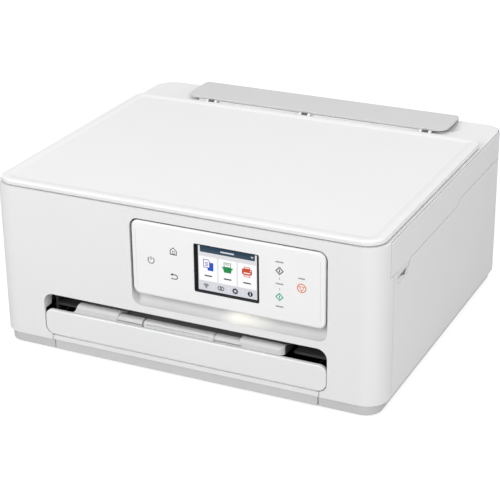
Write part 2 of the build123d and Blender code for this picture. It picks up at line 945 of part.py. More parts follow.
# Folded sheet chassis with end plates for the carriage shaft
with BuildPart() as main_chassis:
    chassis_rear = chassis_y + chassis_thickness
    block(-chassis_half, chassis_half, chassis_y, chassis_rear, frame_chassis_top, chassis_top)
    block(
        -chassis_half,
        chassis_half,
        chassis_y - chassis_flange,
        chassis_y,
        chassis_top - chassis_thickness,
        chassis_top,
    )
    for side in (-1, 1):
        x0, x1 = sorted((side * chassis_half, side * (chassis_half - chassis_thickness)))
        block(x0, x1, chassis_end_front, chassis_y, frame_chassis_top, chassis_top)
        rod_x(shaft_radius + running_clearance, x0, x1, shaft_y, shaft_z, Mode.SUBTRACT)
    with BuildSketch(front_plane(chassis_y)):
        with Locations((0, (frame_chassis_top + chassis_top) / 2)):
            with GridLocations(chassis_hole_pitch, 1, chassis_hole_count, 1):
                SlotOverall(chassis_hole_length, chassis_flange)
        with Locations((motor_pulley_x, belt_z)):
            Circle(pulley_radius)
    extrude(amount=-chassis_thickness, mode=Mode.SUBTRACT)
    rod_y(journal_radius, idler_pulley_x, belt_front, chassis_y, belt_z)
keep(main_chassis, "main_chassis")

with BuildPart() as carriage_shaft:
    rod_x(shaft_radius, -chassis_half - shaft_overhang, chassis_half + shaft_overhang, shaft_y, shaft_z)
    chamfer(carriage_shaft.edges().filter_by(GeomType.CIRCLE), shaft_radius / 4)
keep(carriage_shaft, "carriage_shaft")

with BuildPart() as toothed_belt:
    belt_middle = (motor_pulley_x + idler_pulley_x) / 2
    belt_run = idler_pulley_x - motor_pulley_x
    inside = pulley_radius + pulley_clearance
    with BuildSketch(front_plane(belt_front)):
        with Locations((belt_middle, belt_z)):
            SlotCenterToCenter(belt_run, 2 * (inside + belt_thickness))
            SlotCenterToCenter(belt_run, 2 * inside, mode=Mode.SUBTRACT)
    extrude(amount=-belt_width)
keep(toothed_belt, "toothed_belt")

for pulley_x, bore, pulley_name in (
    (motor_pulley_x, motor_shaft_radius, "motor_pulley"),
    (idler_pulley_x, journal_radius + running_clearance, "idler_pulley"),
):
    with BuildPart() as pulley:
        rod_y(pulley_radius, pulley_x, belt_front - pulley_rim, belt_front + belt_width + pulley_rim, belt_z)
        for rim_y in (belt_front - pulley_rim, belt_front + belt_width):
            rod_y(pulley_radius + belt_thickness, pulley_x, rim_y, rim_y + pulley_rim, belt_z)
        if pulley_name == "idler_pulley":
            rod_y(bore, pulley_x, 0, back, belt_z, Mode.SUBTRACT)
        else:
            rod_y(bore, pulley_x, belt_front, chassis_y + drive_motor_length / 2, belt_z)
    keep(pulley, pulley_name)

with BuildPart() as carriage_motor:
    motor_face = chassis_y + chassis_thickness
    rod_y(drive_motor_radius, motor_pulley_x, motor_face, motor_face + drive_motor_length, belt_z)
    fillet(carriage_motor.edges().group_by(Axis.Y)[-1], motor_shaft_radius)
    rod_y(
        motor_shaft_radius + running_clearance,
        motor_pulley_x,
        chassis_y,
        chassis_y + drive_motor_length / 2 + wall,
        belt_z,
        Mode.SUBTRACT,
    )
keep(carriage_motor, "carriage_motor")

# Print carriage, open above for two cartridges
carriage_left = carriage_home - carriage_width / 2
carriage_right = carriage_home + carriage_width / 2
cartridge_offset = (carriage_width - carriage_wall) / 4
with BuildPart() as print_carriage:
    carriage_top = carriage_bottom + carriage_height
    block(carriage_left, carriage_right, carriage_front, carriage_back, carriage_bottom, carriage_top)
    for offset_x in (-cartridge_offset, cartridge_offset):
        x = carriage_home + offset_x
        room = cartridge_width / 2 + cartridge_clearance
        block(
            x - room,
            x + room,
            carriage_front + carriage_wall,
            carriage_back - carriage_wall,
            carriage_bottom + carriage_wall,
            carriage_top,
            Mode.SUBTRACT,
        )
        throat = nozzle_width / 2 + nozzle_clearance
        middle_y = (carriage_front + carriage_back) / 2
        reach = nozzle_length / 2 + nozzle_clearance
        block(
            x - throat,
            x + throat,
            middle_y - reach,
            middle_y + reach,
            carriage_bottom,
            carriage_bottom + carriage_wall,
            Mode.SUBTRACT,
        )
    rod_x(carriage_boss_radius, carriage_left, carriage_right, shaft_y, shaft_z)
    block(
        carriage_left,
        carriage_right,
        carriage_back - carriage_wall,
        shaft_y,
        shaft_z - carriage_boss_radius,
        shaft_z + carriage_boss_radius,
    )
    rod_x(shaft_radius + running_clearance, carriage_left, carriage_right, shaft_y, shaft_z, Mode.SUBTRACT)
    clamp_x0 = carriage_home - carriage_clamp / 2
    clamp_x1 = carriage_home + carriage_clamp / 2
    belt_top = belt_z + pulley_radius + pulley_clearance + belt_thickness
    clamp_z0 = belt_top + clamp_clearance
    clamp_z1 = clamp_z0 + carriage_wall
    block(clamp_x0, clamp_x1, carriage_back - carriage_wall, carriage_back, carriage_bottom, clamp_z1)
    block(clamp_x0, clamp_x1, carriage_back, belt_front + belt_width, clamp_z0, clamp_z1)
keep(print_carriage, "print_carriage")

cartridge_places = {"black_cartridge": -cartridge_offset, "colour_cartridge": cartridge_offset}
for cartridge_name, offset_x in cartridge_places.items():
    x = carriage_home + offset_x
    body_bottom = carriage_bottom + carriage_wall
    middle_y = (carriage_front + carriage_back) / 2
    with BuildPart() as cartridge:
        block(
            x - cartridge_width / 2,
            x + cartridge_width / 2,
            carriage_front + carriage_wall + cartridge_clearance,
            carriage_back - carriage_wall - cartridge_clearance,
            body_bottom,
            body_bottom + cartridge_height,
        )
        fillet(cartridge.edges().filter_by(Axis.Z), cartridge_round)
        chamfer(cartridge.faces().sort_by(Axis.Z)[-1].edges(), cartridge_round / 2)
        block(
            x - nozzle_width / 2,
            x + nozzle_width / 2,
            middle_y - nozzle_length / 2,
            middle_y + nozzle_length / 2,
            nozzle_bottom,
            body_bottom,
        )
        block(
            x - latch_length / 2,
            x + latch_length / 2,
            carriage_front + carriage_wall + cartridge_clearance,
            carriage_front + carriage_wall + latch_length,
            body_bottom + cartridge_height,
            body_bottom + cartridge_height + latch_height,
        )
    keep(cartridge, cartridge_name)

# Rollers and their gear train
idler_phase = mesh_phase(180, feed_teeth, 0, idler_teeth)
eject_phase = mesh_phase(180, idler_teeth, idler_phase, eject_teeth)
pinion_phase = mesh_phase(pinion_direction, feed_teeth, 0, pinion_teeth)
with BuildPart() as feed_roller:
    rod_x(roller_radius, -frame_inner + roller_end_gap, frame_inner - roller_end_gap, feed_y, roller_z)
    rod_x(journal_radius, gear_left, frame_outer + wall, feed_y, roller_z)
    gear(feed_teeth, 0, feed_y, roller_z, journal_radius, 2 * journal_radius)
keep(feed_roller, "feed_roller")

with BuildPart() as eject_roller:
    rod_x(journal_radius, gear_left, frame_outer + wall, eject_y, roller_z)
    for index in range(star_count):
        x = (index - (star_count - 1) / 2) * star_pitch
        rod_x(roller_radius, x - roller_end_gap, x + roller_end_gap, eject_y, roller_z)
    gear(eject_teeth, eject_phase, eject_y, roller_z, journal_radius, 2 * journal_radius)
keep(eject_roller, "eject_roller")

with BuildPart() as transport_roller:
    rod_x(journal_radius, -frame_outer - wall, frame_outer + wall, transport_y, transport_z)
    for index in range(transport_count):
        x = (index - 1) * 2 * star_pitch
        rod_x(transport_radius, x - star_pitch / 2, x + star_pitch / 2, transport_y, transport_z)
keep(transport_roller, "transport_roller")

with BuildPart() as idler_gear:
    gear(idler_teeth, idler_phase, idler_y, roller_z, journal_radius + running_clearance, 2 * journal_radius)
keep(idler_gear, "idler_gear")

with BuildPart() as motor_pinion:
    gear(pinion_teeth, pinion_phase, pinion_y, pinion_z, motor_shaft_radius, 2 * motor_shaft_radius)
    rod_x(motor_shaft_radius, gear_left, gear_right + motor_length / 2, pinion_y, pinion_z)
keep(motor_pinion, "motor_pinion")

with BuildPart() as feed_motor:
    bracket_x = gear_right + gear_width / 2 + motor_bracket
    block(
        bracket_x,
        bracket_x + motor_bracket,
        pinion_y - motor_radius,
        pinion_y + motor_radius,
        floor_top,
        pinion_z + motor_radius,
    )
    rod_x(motor_radius, bracket_x, bracket_x + motor_length - wall, pinion_y, pinion_z)
    rod_x(
        motor_shaft_radius + running_clearance,
        bracket_x,
        bracket_x + motor_length / 2,
        pinion_y,
        pinion_z,
        Mode.SUBTRACT,
    )
keep(feed_motor, "feed_motor")

with BuildPart() as print_platen:
    platen_y0 = eject_y + roller_radius + platen_gap
    platen_y1 = feed_y - roller_radius - platen_gap
    platen_top = roller_z + roller_radius - platen_rib
    block(-platen_left, platen_right, platen_y0, platen_y1, platen_top - platen_thickness, platen_top)
    rib_count = int((platen_left + platen_right) / platen_rib_pitch)
    with BuildSketch(Plane.XY.offset(platen_top)):
        with Locations(((platen_right - platen_left) / 2, (platen_y0 + platen_y1) / 2)):
            with GridLocations(platen_rib_pitch, 1, rib_count, 1):
                Rectangle(platen_rib_width, platen_y1 - platen_y0 - 2 * wall)
    extrude(amount=platen_rib)
    for x0, x1 in ((-frame_inner, -platen_left), (platen_right, frame_inner)):
        block(
            x0, x1, platen_y1 - 3 * wall, platen_y1, platen_top - platen_thickness,
            platen_top - platen_thickness / 2,
        )
        block(
            x0, x1, platen_y0, platen_y0 + wall, platen_top - platen_thickness - wall,
            platen_top - platen_thickness,
        )
    block(
        -platen_left, platen_right, platen_y0, platen_y0 + wall,
        platen_top - platen_thickness - wall, platen_top - platen_thickness,
    )
keep(print_platen, "print_platen")

# Star wheels over the eject roller, on one axle under a bar
star_z = roller_z + roller_radius + star_radius + star_lift
with BuildPart() as star_wheel_bar:
    bar_y0 = eject_y - star_bar_depth / 2
    bar_y1 = eject_y + star_bar_depth / 2
    bar_z1 = frame_front_top + star_bar_height
    block(-frame_outer, frame_outer, bar_y0, bar_y1, frame_front_top, bar_z1)
    block(
        -frame_inner, frame_inner, bar_y0 + wall, bar_y1 - wall, frame_front_top, bar_z1 - carriage_wall,
        Mode.SUBTRACT,
    )
    for index in range(star_count + 1):
        x = (index - star_count / 2) * star_pitch
        block(
            x - hanger_width / 2, x + hanger_width / 2, bar_y0, bar_y1, star_z - 2 * star_axle_radius, bar_z1
        )
    rod_x(star_axle_radius + running_clearance, -half, half, eject_y, star_z, Mode.SUBTRACT)
keep(star_wheel_bar, "star_wheel_bar")

with BuildPart() as star_wheels:
    axle_half = star_count / 2 * star_pitch + hanger_width
    rod_x(star_axle_radius, -axle_half, axle_half, eject_y, star_z)
    for index in range(star_count):
        x = (index - (star_count - 1) / 2) * star_pitch
        points = []
        for step in range(2 * star_points):
            r = star_radius if step % 2 == 0 else star_hub_radius
            angle = pi * step / star_points
            points.append((eject_y + r * cos(angle), star_z + r * sin(angle)))
        side_slab(points, x - star_thickness / 2, x + star_thickness / 2)
keep(star_wheels, "star_wheels")

# Purge unit with two rubber-edged wells under the parked cartridges
with BuildPart() as purge_unit:
    purge_y = (carriage_front + carriage_back) / 2
    block(frame_outer + wall, purge_right, -purge_half, purge_half, floor_top, floor_top + purge_height)
    block(
        purge_left, purge_right, -purge_half, purge_half, floor_top + purge_height, purge_cap_top
    )
    with BuildSketch(Plane.XY.offset(purge_cap_top)):
        for offset_x in (-cartridge_offset, cartridge_offset):
            with Locations((carriage_home + offset_x, purge_y)):
                RectangleRounded(purge_well_width, nozzle_length, wall)
    extrude(amount=-purge_well, mode=Mode.SUBTRACT)
keep(purge_unit, "purge_unit")

with BuildPart() as waste_ink_pad:
    block(
        frame_outer + wall, purge_right, -purge_half - wall - pad_length, -purge_half - wall,
        floor_top, floor_top + pad_height,
    )
keep(waste_ink_pad, "waste_ink_pad")

# Slanted guide from the rear feed down to the feed roller, on two cheeks
with BuildPart() as rear_feed_guide:
    slant = (
        (chute_bottom_y, chute_bottom),
        (chute_bottom_y + chute_thickness, chute_bottom),
        (chute_top_y + chute_thickness, chute_top),
        (chute_top_y, chute_top),
    )
    side_slab(slant, -frame_outer, frame_outer)
    cheek = (
        (chute_bottom_y, frame_rear_top),
        (chute_cheek_back, frame_rear_top),
        (chute_cheek_back, chute_top),
        (chute_top_y, chute_top),
        (chute_bottom_y, chute_bottom),
    )
    for x0 in (-frame_outer, frame_inner):
        side_slab(cheek, x0, x0 + frame_thickness)
keep(rear_feed_guide, "rear_feed_guide")

# Hinge posts that stand on the rear panel and carry the scanner unit
with BuildPart() as hinge_posts:
    post_y0 = hinge_y - hinge_head_radius
    for side in (-1, 1):
        x0 = side * hinge_place - hinge_post_width / 2
        x1 = side * hinge_place + hinge_post_width / 2
        block(x0, x1, post_y0, back - wall, hinge_z - hinge_post_drop, seam_rear - wall)
        block(x0, x1, post_y0, hinge_y + hinge_head_radius - panel_gap, seam_rear - wall, hinge_z)
        rod_x(hinge_head_radius, x0, x1, hinge_y, hinge_z)
        rod_x(hinge_pin_radius + running_clearance, x0, x1, hinge_y, hinge_z, Mode.SUBTRACT)
keep(hinge_posts, "hinge_posts")

# Cassette: tray with a toe under the casing, white front, paper guides
with BuildPart() as cassette_tray:
    tray_half = cassette_width / 2
    block(
        -tray_half, tray_half, cassette_front, cassette_back, cassette_floor_height,
        cassette_floor_height + cassette_wall_height,
    )
    toe_y0 = front + base_inset_front
    block(
        -toe_width / 2, toe_width / 2, toe_y0, toe_y0 + toe_length, foot_height + strip_bottom_gap,
        casing_bottom - strip_bottom_gap,
    )
    block(
        -tray_half + cassette_wall, tray_half - cassette_wall, cassette_front + cassette_wall,
        cassette_back - cassette_wall, cassette_floor_height + cassette_wall,
        cassette_floor_height + 2 * cassette_wall_height, Mode.SUBTRACT,
    )
keep(cassette_tray, "cassette_tray")

with BuildPart() as cassette_face:
    face_z1 = cassette_face_top
    face_height = face_z1 - cassette_face_bottom
    with BuildSketch(front_plane(front)):
        with Locations((0, (cassette_face_bottom + face_z1) / 2)):
            Rectangle(slot_width - 2 * cassette_face_gap, face_height)
    extrude(amount=-cassette_face_thickness)
    upright = cassette_face.edges().filter_by(Axis.Y)
    fillet(upright.group_by(Axis.Z)[0], slot_corner - cassette_face_gap)
    fillet(cassette_face.edges().filter_by(Axis.Y).group_by(Axis.Z)[-1], cassette_top_corner)
    fillet(cassette_face.faces().sort_by(Axis.Y)[0].edges(), cassette_edge_round)
    block(
        -strip_width / 2, strip_width / 2, front, cassette_front, casing_bottom + strip_bottom_gap,
        cassette_face_bottom - strip_groove,
    )
    block(
        -strip_width / 2 + slot_corner, strip_width / 2 - slot_corner, front + strip_groove_depth,
        cassette_front, cassette_face_bottom - strip_groove, cassette_face_bottom,
    )
keep(cassette_face, "cassette_face")

guide_floor = cassette_floor_height + cassette_wall + guide_clearance
for side, guide_name in ((-1, "left_cassette_guide"), (1, "right_cassette_guide")):
    with BuildPart() as cassette_guide:
        x0, x1 = sorted((side * side_guide_place, side * (side_guide_place + guide_plate)))
        block(
            x0, x1, -side_guide_length / 2, side_guide_length / 2,
            guide_floor, guide_floor + side_guide_height,
        )
        x0, x1 = sorted((side * side_guide_place, side * (side_guide_place + side_guide_foot)))
        block(
            x0, x1, -side_guide_length / 4, side_guide_length / 4, guide_floor, guide_floor + guide_plate
        )
    keep(cassette_guide, guide_name)

with BuildPart() as cassette_end_guide:
    end_y = cassette_front + cassette_wall + end_guide_room
    block(
        -end_guide_width / 2, end_guide_width / 2, end_y, end_y + guide_plate, guide_floor,
        guide_floor + end_guide_height,
    )
    block(
        -end_guide_width / 2, end_guide_width / 2, end_y, end_y + side_guide_foot, guide_floor,
        guide_floor + guide_plate,
    )
keep(cassette_end_guide, "cassette_end_guide")

# Output tray: two shoulders, a rolled front bar and an extension drawn out through it
with BuildPart() as output_tray:
    x0 = tray_centre - tray_width / 2
    x1 = tray_centre + tray_width / 2
    opening_x0 = tray_centre - tray_opening / 2
    opening_x1 = tray_centre + tray_opening / 2
    bar_top = tray_top + tray_bar_rise
    shoulder_top = tray_top + tray_shoulder_rise
    shoulder_y = tray_front + tray_shoulder
    gap_half = handle_width / 2 + handle_gap
    block(x0, x1, shoulder_y, tray_back, tray_bottom, tray_top)
    block(opening_x0, opening_x1, tray_front, tray_back - tray_rear_bar, tray_bottom, tray_top, Mode.SUBTRACT)
    for side_x0, side_x1 in ((x0, opening_x0), (opening_x1, x1)):
        rolled_bar(side_x0, side_x1, tray_shoulder, shoulder_top, tray_shoulder_roll)
        ramp = ((shoulder_y, tray_top), (shoulder_y, shoulder_top), (shoulder_y + tray_ramp, tray_top))
        side_slab(ramp, side_x0, side_x1)
        block(
            side_x0 + tray_shoulder_wall, side_x1 - tray_shoulder_wall, tray_front + tray_shoulder_wall,
            shoulder_y, tray_bottom, shoulder_top - tray_thickness, Mode.SUBTRACT,
        )
    with BuildSketch(Plane.XY.offset(tray_bottom)) as tray_plan:
        with Locations((tray_centre, (tray_front + tray_back) / 2)):
            Rectangle(tray_width, tray_back - tray_front)
        fillet(tray_plan.vertices().group_by(Axis.Y)[0], tray_corner)
    extrude(amount=shoulder_top - tray_bottom, mode=Mode.INTERSECT)
    for bar_x0, bar_x1 in ((opening_x0, tray_centre - gap_half), (tray_centre + gap_half, opening_x1)):
        rolled_bar(bar_x0, bar_x1, tray_bar, bar_top, tray_bar_roll)
    slit_half = tray_opening / 2 + extension_tongue + extension_clearance
    block(
        tray_centre - slit_half, tray_centre + slit_half, tray_front, tray_back - tray_rear_bar,
        extension_z - extension_clearance, extension_z + extension_thickness + extension_clearance,
        Mode.SUBTRACT,
    )
keep(output_tray, "output_tray")

with BuildPart() as output_extension:
    plate_half = tray_opening / 2 + extension_tongue - extension_clearance
    plate_y0 = tray_front + tray_bar
    plate_y1 = tray_back - tray_rear_bar - extension_end_room
    block(
        tray_centre - plate_half, tray_centre + plate_half, plate_y0, plate_y1,
        extension_z, extension_z + extension_thickness,
    )
keep(output_extension, "output_extension")

with BuildPart() as extension_handle:
    x0 = tray_centre - handle_width / 2
    x1 = tray_centre + handle_width / 2
    rolled_bar(x0, x1, tray_bar, tray_top + tray_bar_rise, tray_bar_roll)
    block(
        x0 + handle_groove_margin, x1 - handle_groove_margin, tray_front, tray_front + 2 * handle_groove,
        tray_top, tray_top + handle_groove, Mode.SUBTRACT,
    )
keep(extension_handle, "extension_handle")

# Operation panel
with BuildPart() as operation_panel:
    with BuildSketch(front_plane(front)):
        with Locations((bay_centre, (panel_bottom + panel_top) / 2)):
            RectangleRounded(panel_width, panel_height, bay_corner - panel_clearance)
    extrude(amount=-panel_thickness)
    fillet(operation_panel.faces().sort_by(Axis.Y)[0].edges(), panel_edge_round)
    with BuildSketch(front_plane(panel_back)):
        with Locations((bay_centre, (panel_bottom + panel_top) / 2)):
            RectangleRounded(
                panel_width - 2 * panel_edge_round, panel_height - 2 * panel_edge_round,
                bay_corner - panel_clearance - panel_edge_round,
            )
    extrude(amount=panel_thickness - panel_skin, mode=Mode.SUBTRACT)
    with BuildSketch(front_plane(front)):
        with Locations((bay_centre, window_z)):
            RectangleRounded(window_width, window_height, window_corner)
    extrude(amount=-panel_thickness, mode=Mode.SUBTRACT)
    panel_x0 = bay_centre - panel_width / 2
    panel_x1 = bay_centre + panel_width / 2
    pin_reach = panel_clearance + bay_wall
    rod_x(panel_pin_radius, panel_x0 - pin_reach, panel_x0 + panel_edge_round, panel_axis_y, panel_axis_z)
    rod_x(panel_pin_radius, panel_x1 - panel_edge_round, panel_x1 + pin_reach, panel_axis_y, panel_axis_z)
    light_y0 = front + panel_edge_round + light_set_back
    block(
        light_centre - light_length / 2, light_centre + light_length / 2, light_y0, light_y0 + light_width,
        panel_bottom, panel_bottom + light_depth, Mode.SUBTRACT,
    )
keep(operation_panel, "operation_panel")

with BuildPart() as panel_back_cover:
    inner_width = panel_width - 2 * (panel_edge_round + panel_back_clearance)
    inner_height = panel_height - 2 * (panel_edge_round + panel_back_clearance)
    with BuildSketch(front_plane(panel_back)):
        with Locations((bay_centre, (panel_bottom + panel_top) / 2)):
            RectangleRounded(
                inner_width, inner_height,
                bay_corner - panel_clearance - panel_edge_round - panel_back_clearance,
            )
    extrude(amount=panel_back_thickness)
    notch = panel_edge_round + panel_pin_radius
    for x in (panel_x0 + panel_edge_round, panel_x1 - panel_edge_round):
        block(
            x - notch, x + notch, front, panel_back, panel_axis_z - notch, panel_top, Mode.SUBTRACT
        )
keep(panel_back_cover, "panel_back_cover")

with BuildPart() as display_bezel:
    skin_back = front + panel_skin
    lining_width = window_width - 2 * bezel_clearance
    lining_height = window_height - 2 * bezel_clearance
    with BuildSketch(front_plane(front + bezel_clearance)):
        with Locations((bay_centre, window_z)):
            RectangleRounded(lining_width, lining_height, window_corner)
    extrude(amount=-(panel_skin - bezel_clearance))
    with BuildSketch(front_plane(skin_back)):
        with Locations((bay_centre, window_z)):
            Rectangle(window_width + 2 * bezel_flange, window_height + 2 * bezel_flange)
    extrude(amount=-bezel_thickness)
    with BuildSketch(front_plane(front)):
        with Locations((bay_centre, window_z)):
            Rectangle(lining_width - 2 * bezel_lining, lining_height - 2 * bezel_lining)
    extrude(amount=-panel_skin, mode=Mode.SUBTRACT)
    with BuildSketch(front_plane(front)):
        with Locations((bay_centre, window_z)):
            Rectangle(display_width, display_height)
    extrude(amount=-panel_thickness, mode=Mode.SUBTRACT)
keep(display_bezel, "display_bezel")

with BuildPart() as display:
    with BuildSketch(front_plane(front + display_set_back)):
        with Locations((bay_centre, window_z)):
            Rectangle(display_width - 2 * bezel_clearance, display_height - 2 * bezel_clearance)
    extrude(amount=-bezel_thickness)
keep(display, "display")

with BuildPart() as status_light:
    block(
        light_centre - light_length / 2 + bezel_clearance, light_centre + light_length / 2 - bezel_clearance,
        light_y0 + bezel_clearance, light_y0 + light_width - bezel_clearance,
        panel_bottom + bezel_clearance, panel_bottom + light_depth,
    )
keep(status_light, "status_light")

# Scanner case: outer walls down to the parting line, tub, finger tongues and hinge ears
tongues = {}
scoop_y0 = front + scoop_start
scoop_y1 = scoop_y0 + scoop_length + scoop_rear_run
scoop_z = seam_height - scoop_drop + lift_gap
for side in (-1, 1):
    with BuildPart() as tongue:
        with BuildSketch(front_plane(scoop_y0)):
            with BuildLine():
                outer_top = (side * half, seam_height + wall)
                outer_low = (side * (half - scoop_depth), scoop_z)
                bend = (side * (half - scoop_depth / 5), seam_height - scoop_drop / 3)
                ThreePointArc(outer_top, bend, outer_low)
                Polyline(
                    outer_low,
                    (side * (half - scoop_depth), scoop_z - scoop_tail),
                    (side * (half - scoop_depth - wall), scoop_z - scoop_tail),
                    (side * (half - scoop_depth - wall), seam_height),
                    (side * (half - wall), seam_height + wall),
                    outer_top,
                )
            make_face()
        extrude(amount=scoop_y0 - scoop_y1)
        outline = Plane.YZ.offset(side * (half - rear_wrap / 2)) * scoop_outline(scoop_gap, scoop_tail)
        extrude(outline, rear_wrap / 2, both=True, mode=Mode.INTERSECT)
    tongues[side] = tongue.part

with BuildPart() as scanner_case:
    skirt_y0 = front + upper_return + panel_gap
    casing_band(wall, seam_height, plate_bottom, -half, half, skirt_y0, back)
    casing_band(case_lip, plate_bottom, deck - case_lip_drop, -half, half, skirt_y0, back)
    casing_band(frame_seat, tub_floor, plate_bottom, -half, half, skirt_y0, back)
    upper_trim()
    with BuildSketch(Plane.XY.offset(tub_floor)):
        plan_outline(wall)
        with Locations((0, (skirt_y0 + back) / 2)):
            Rectangle(width, back - skirt_y0, mode=Mode.INTERSECT)
        with Locations((0, (well_y0 + well_y0 + hopper_throat) / 2)):
            Rectangle(2 * hopper_half_throat, hopper_throat, mode=Mode.SUBTRACT)
    extrude(amount=tub_floor_thickness)
    block(-half + wall, half - wall, skirt_y0, skirt_y0 + wall, tub_floor, plate_bottom)
    for side in (-1, 1):
        add(tongues[side])
        inner = side * hinge_place - side * (hinge_post_width / 2 + hinge_post_gap)
        outer = side * hinge_place + side * (hinge_post_width / 2 + hinge_post_gap)
        x0, x1 = sorted((inner, outer))
        block(
            x0 - hinge_ear, x1 + hinge_ear, hinge_y - hinge_radius, back - wall, tub_floor,
            hinge_z + hinge_radius,
        )
        block(
            x0, x1, hinge_y - hinge_notch_front, back, seam_height, hinge_z + hinge_notch_rise, Mode.SUBTRACT
        )
        block(
            x0, x1, hinge_y - hinge_notch_front, back - wall, hinge_z, hinge_z + hinge_radius, Mode.SUBTRACT
        )
        rod_x(hinge_pin_radius, x0, x1, hinge_y, hinge_z)
    for side in (-1, 1):
        x0, x1 = sorted((side * rail_half, side * (rail_half - rail_post)))
        block(x0, x1, rail_y - rail_post, rail_y + rail_post, tub_top, tub_top + 2 * rail_post)
    rod_x(rail_radius, -rail_half, rail_half, rail_y, tub_top + rail_post)
keep(scanner_case, "scanner_case")

# Scanner top frame: glass opening, hinge slots, and the deck with the well for the rear feed
with BuildPart() as scanner_frame:
    with BuildSketch(Plane.XY.offset(plate_bottom)):
        plan_outline(case_lip + frame_gap)
        with Locations((0, front)):
            Rectangle(width, 2 * (upper_return + panel_gap), mode=Mode.SUBTRACT)
        plan_outline(wall + frame_gap)
        with Locations((0, front)):
            Rectangle(width, 2 * frame_front_gap, mode=Mode.SUBTRACT)
    extrude(amount=frame_plate)
    block(
        -glass_width / 2 - glass_margin, glass_width / 2 + glass_margin, glass_y0 - glass_margin,
        glass_y1 + glass_margin, plate_bottom, glass_top, Mode.SUBTRACT,
    )
    block(-glass_width / 2, glass_width / 2, glass_y0, glass_y1, plate_bottom, deck, Mode.SUBTRACT)
    block(-well_half, well_half, well_y0, well_y1, plate_bottom, deck, Mode.SUBTRACT)
    ear_x0 = lid_knuckle_width / 2 + lid_knuckle_gap
    ear_x1 = ear_x0 + lid_ear
    for x in lid_knuckles:
        for x0, x1 in ((x - ear_x1, x - ear_x0), (x + ear_x0, x + ear_x1)):
            block(x0, x1, lid_axis_y - lid_barrel_radius, lid_axis_y + lid_barrel_radius, deck, lid_axis_z)
            rod_x(lid_barrel_radius, x0, x1, lid_axis_y, lid_axis_z)
        rod_x(
            lid_pin_radius + running_clearance, x - ear_x1, x + ear_x1, lid_axis_y, lid_axis_z, Mode.SUBTRACT
        )
    dish_radius = (dish_width**2 / dish_depth + dish_depth) / 2
    with Locations((support_centre, (support_y0 + support_axis_y) / 2, deck - dish_depth + dish_radius)):
        with GridLocations(2 * (support_half - dish_offset), 1, 2, 1):
            Sphere(dish_radius, mode=Mode.SUBTRACT)
    for side in (-1, 1):
        x = side * support_lug_place
        lug_half = support_lug_width / 2
        lug_y0 = support_axis_y - support_lug_radius
        block(x - lug_half, x + lug_half, lug_y0, support_axis_y, deck, support_axis_z)
        rod_x(support_lug_radius, x - lug_half, x + lug_half, support_axis_y, support_axis_z)
        rod_x(
            support_pin_radius + running_clearance, x - lug_half, x + lug_half, support_axis_y,
            support_axis_z, Mode.SUBTRACT,
        )
keep(scanner_frame, "scanner_frame")

with BuildPart() as scanner_glass:
    reach = glass_margin - frame_gap
    block(
        -glass_width / 2 - reach, glass_width / 2 + reach, glass_y0 - reach, glass_y1 + reach,
        glass_top - glass_thickness, glass_top,
    )
keep(scanner_glass, "scanner_glass")

rail_z = tub_top + rail_post
with BuildPart() as scan_sensor:
    sensor_top = glass_top - glass_thickness - sensor_gap
    block(
        sensor_home - sensor_width / 2, sensor_home + sensor_width / 2, glass_y0 - sensor_overlap,
        glass_y1 + sensor_overlap, sensor_top - sensor_height, sensor_top,
    )
    block(
        sensor_home - sensor_width / 2, sensor_home + sensor_width / 2, rail_y - 2 * rail_radius,
        rail_y + 2 * rail_radius, rail_z - rail_radius - sensor_gap, sensor_top - sensor_height / 2,
    )
    rod_x(
        rail_radius + running_clearance, sensor_home - sensor_width, sensor_home + sensor_width, rail_y,
        rail_z, Mode.SUBTRACT,
    )
keep(scan_sensor, "scan_sensor")

# Document cover, its pad and its hinge arms
with BuildPart() as document_cover:
    lid_half = half - lid_side_inset
    lid_middle = (lid_front + lid_rear) / 2
    with BuildSketch(Plane.XY.offset(lid_bottom)) as lid_plan:
        with Locations((0, lid_middle)):
            Rectangle(2 * lid_half, lid_depth)
        fillet(lid_plan.vertices().group_by(Axis.Y)[0], lid_front_corner)
        fillet(lid_plan.vertices().group_by(Axis.Y)[-1], lid_rear_corner)
    extrude(amount=lid_thickness)
    fillet(document_cover.faces().sort_by(Axis.Z)[-1].edges(), lid_rim_round)
    with BuildSketch(Plane.XY.offset(lid_top)) as lid_dish:
        with Locations((0, lid_middle)):
            Rectangle(2 * (lid_half - lid_ridge), lid_depth - 2 * lid_ridge)
        fillet(lid_dish.vertices().group_by(Axis.Y)[0], lid_front_corner - lid_ridge)
        fillet(lid_dish.vertices().group_by(Axis.Y)[-1], lid_rear_corner - lid_ridge)
    dish_taper = degrees(atan2(lid_dish_slope, lid_dish_depth))
    extrude(amount=-lid_dish_depth, taper=dish_taper, mode=Mode.SUBTRACT)
    dish_top = document_cover.faces().sort_by(Axis.Z)[-1].inner_wires()[0]
    fillet(dish_top.edges(), lid_dish_round)
    with BuildSketch(Plane.XY.offset(lid_bottom)) as lid_hollow:
        with Locations((0, lid_middle)):
            Rectangle(2 * (lid_half - lid_rim), lid_depth - 2 * lid_rim)
        fillet(lid_hollow.vertices().group_by(Axis.Y)[0], lid_front_corner - lid_rim)
        fillet(lid_hollow.vertices().group_by(Axis.Y)[-1], lid_rear_corner - lid_rim)
    extrude(amount=lid_thickness - lid_skin, mode=Mode.SUBTRACT)
    block(lid_leaf_x0, lid_leaf_x1, lid_rear - lid_rim, lid_leaf_y1, lid_leaf_bottom, lid_leaf_top)
keep(document_cover, "document_cover")

with BuildPart() as document_pad:
    block(
        -glass_width / 2 + pad_margin, glass_width / 2 - pad_margin, glass_y0 + pad_margin,
        glass_y1 - pad_margin, glass_top + pad_gap, lid_top - lid_skin,
    )
keep(document_pad, "document_pad")

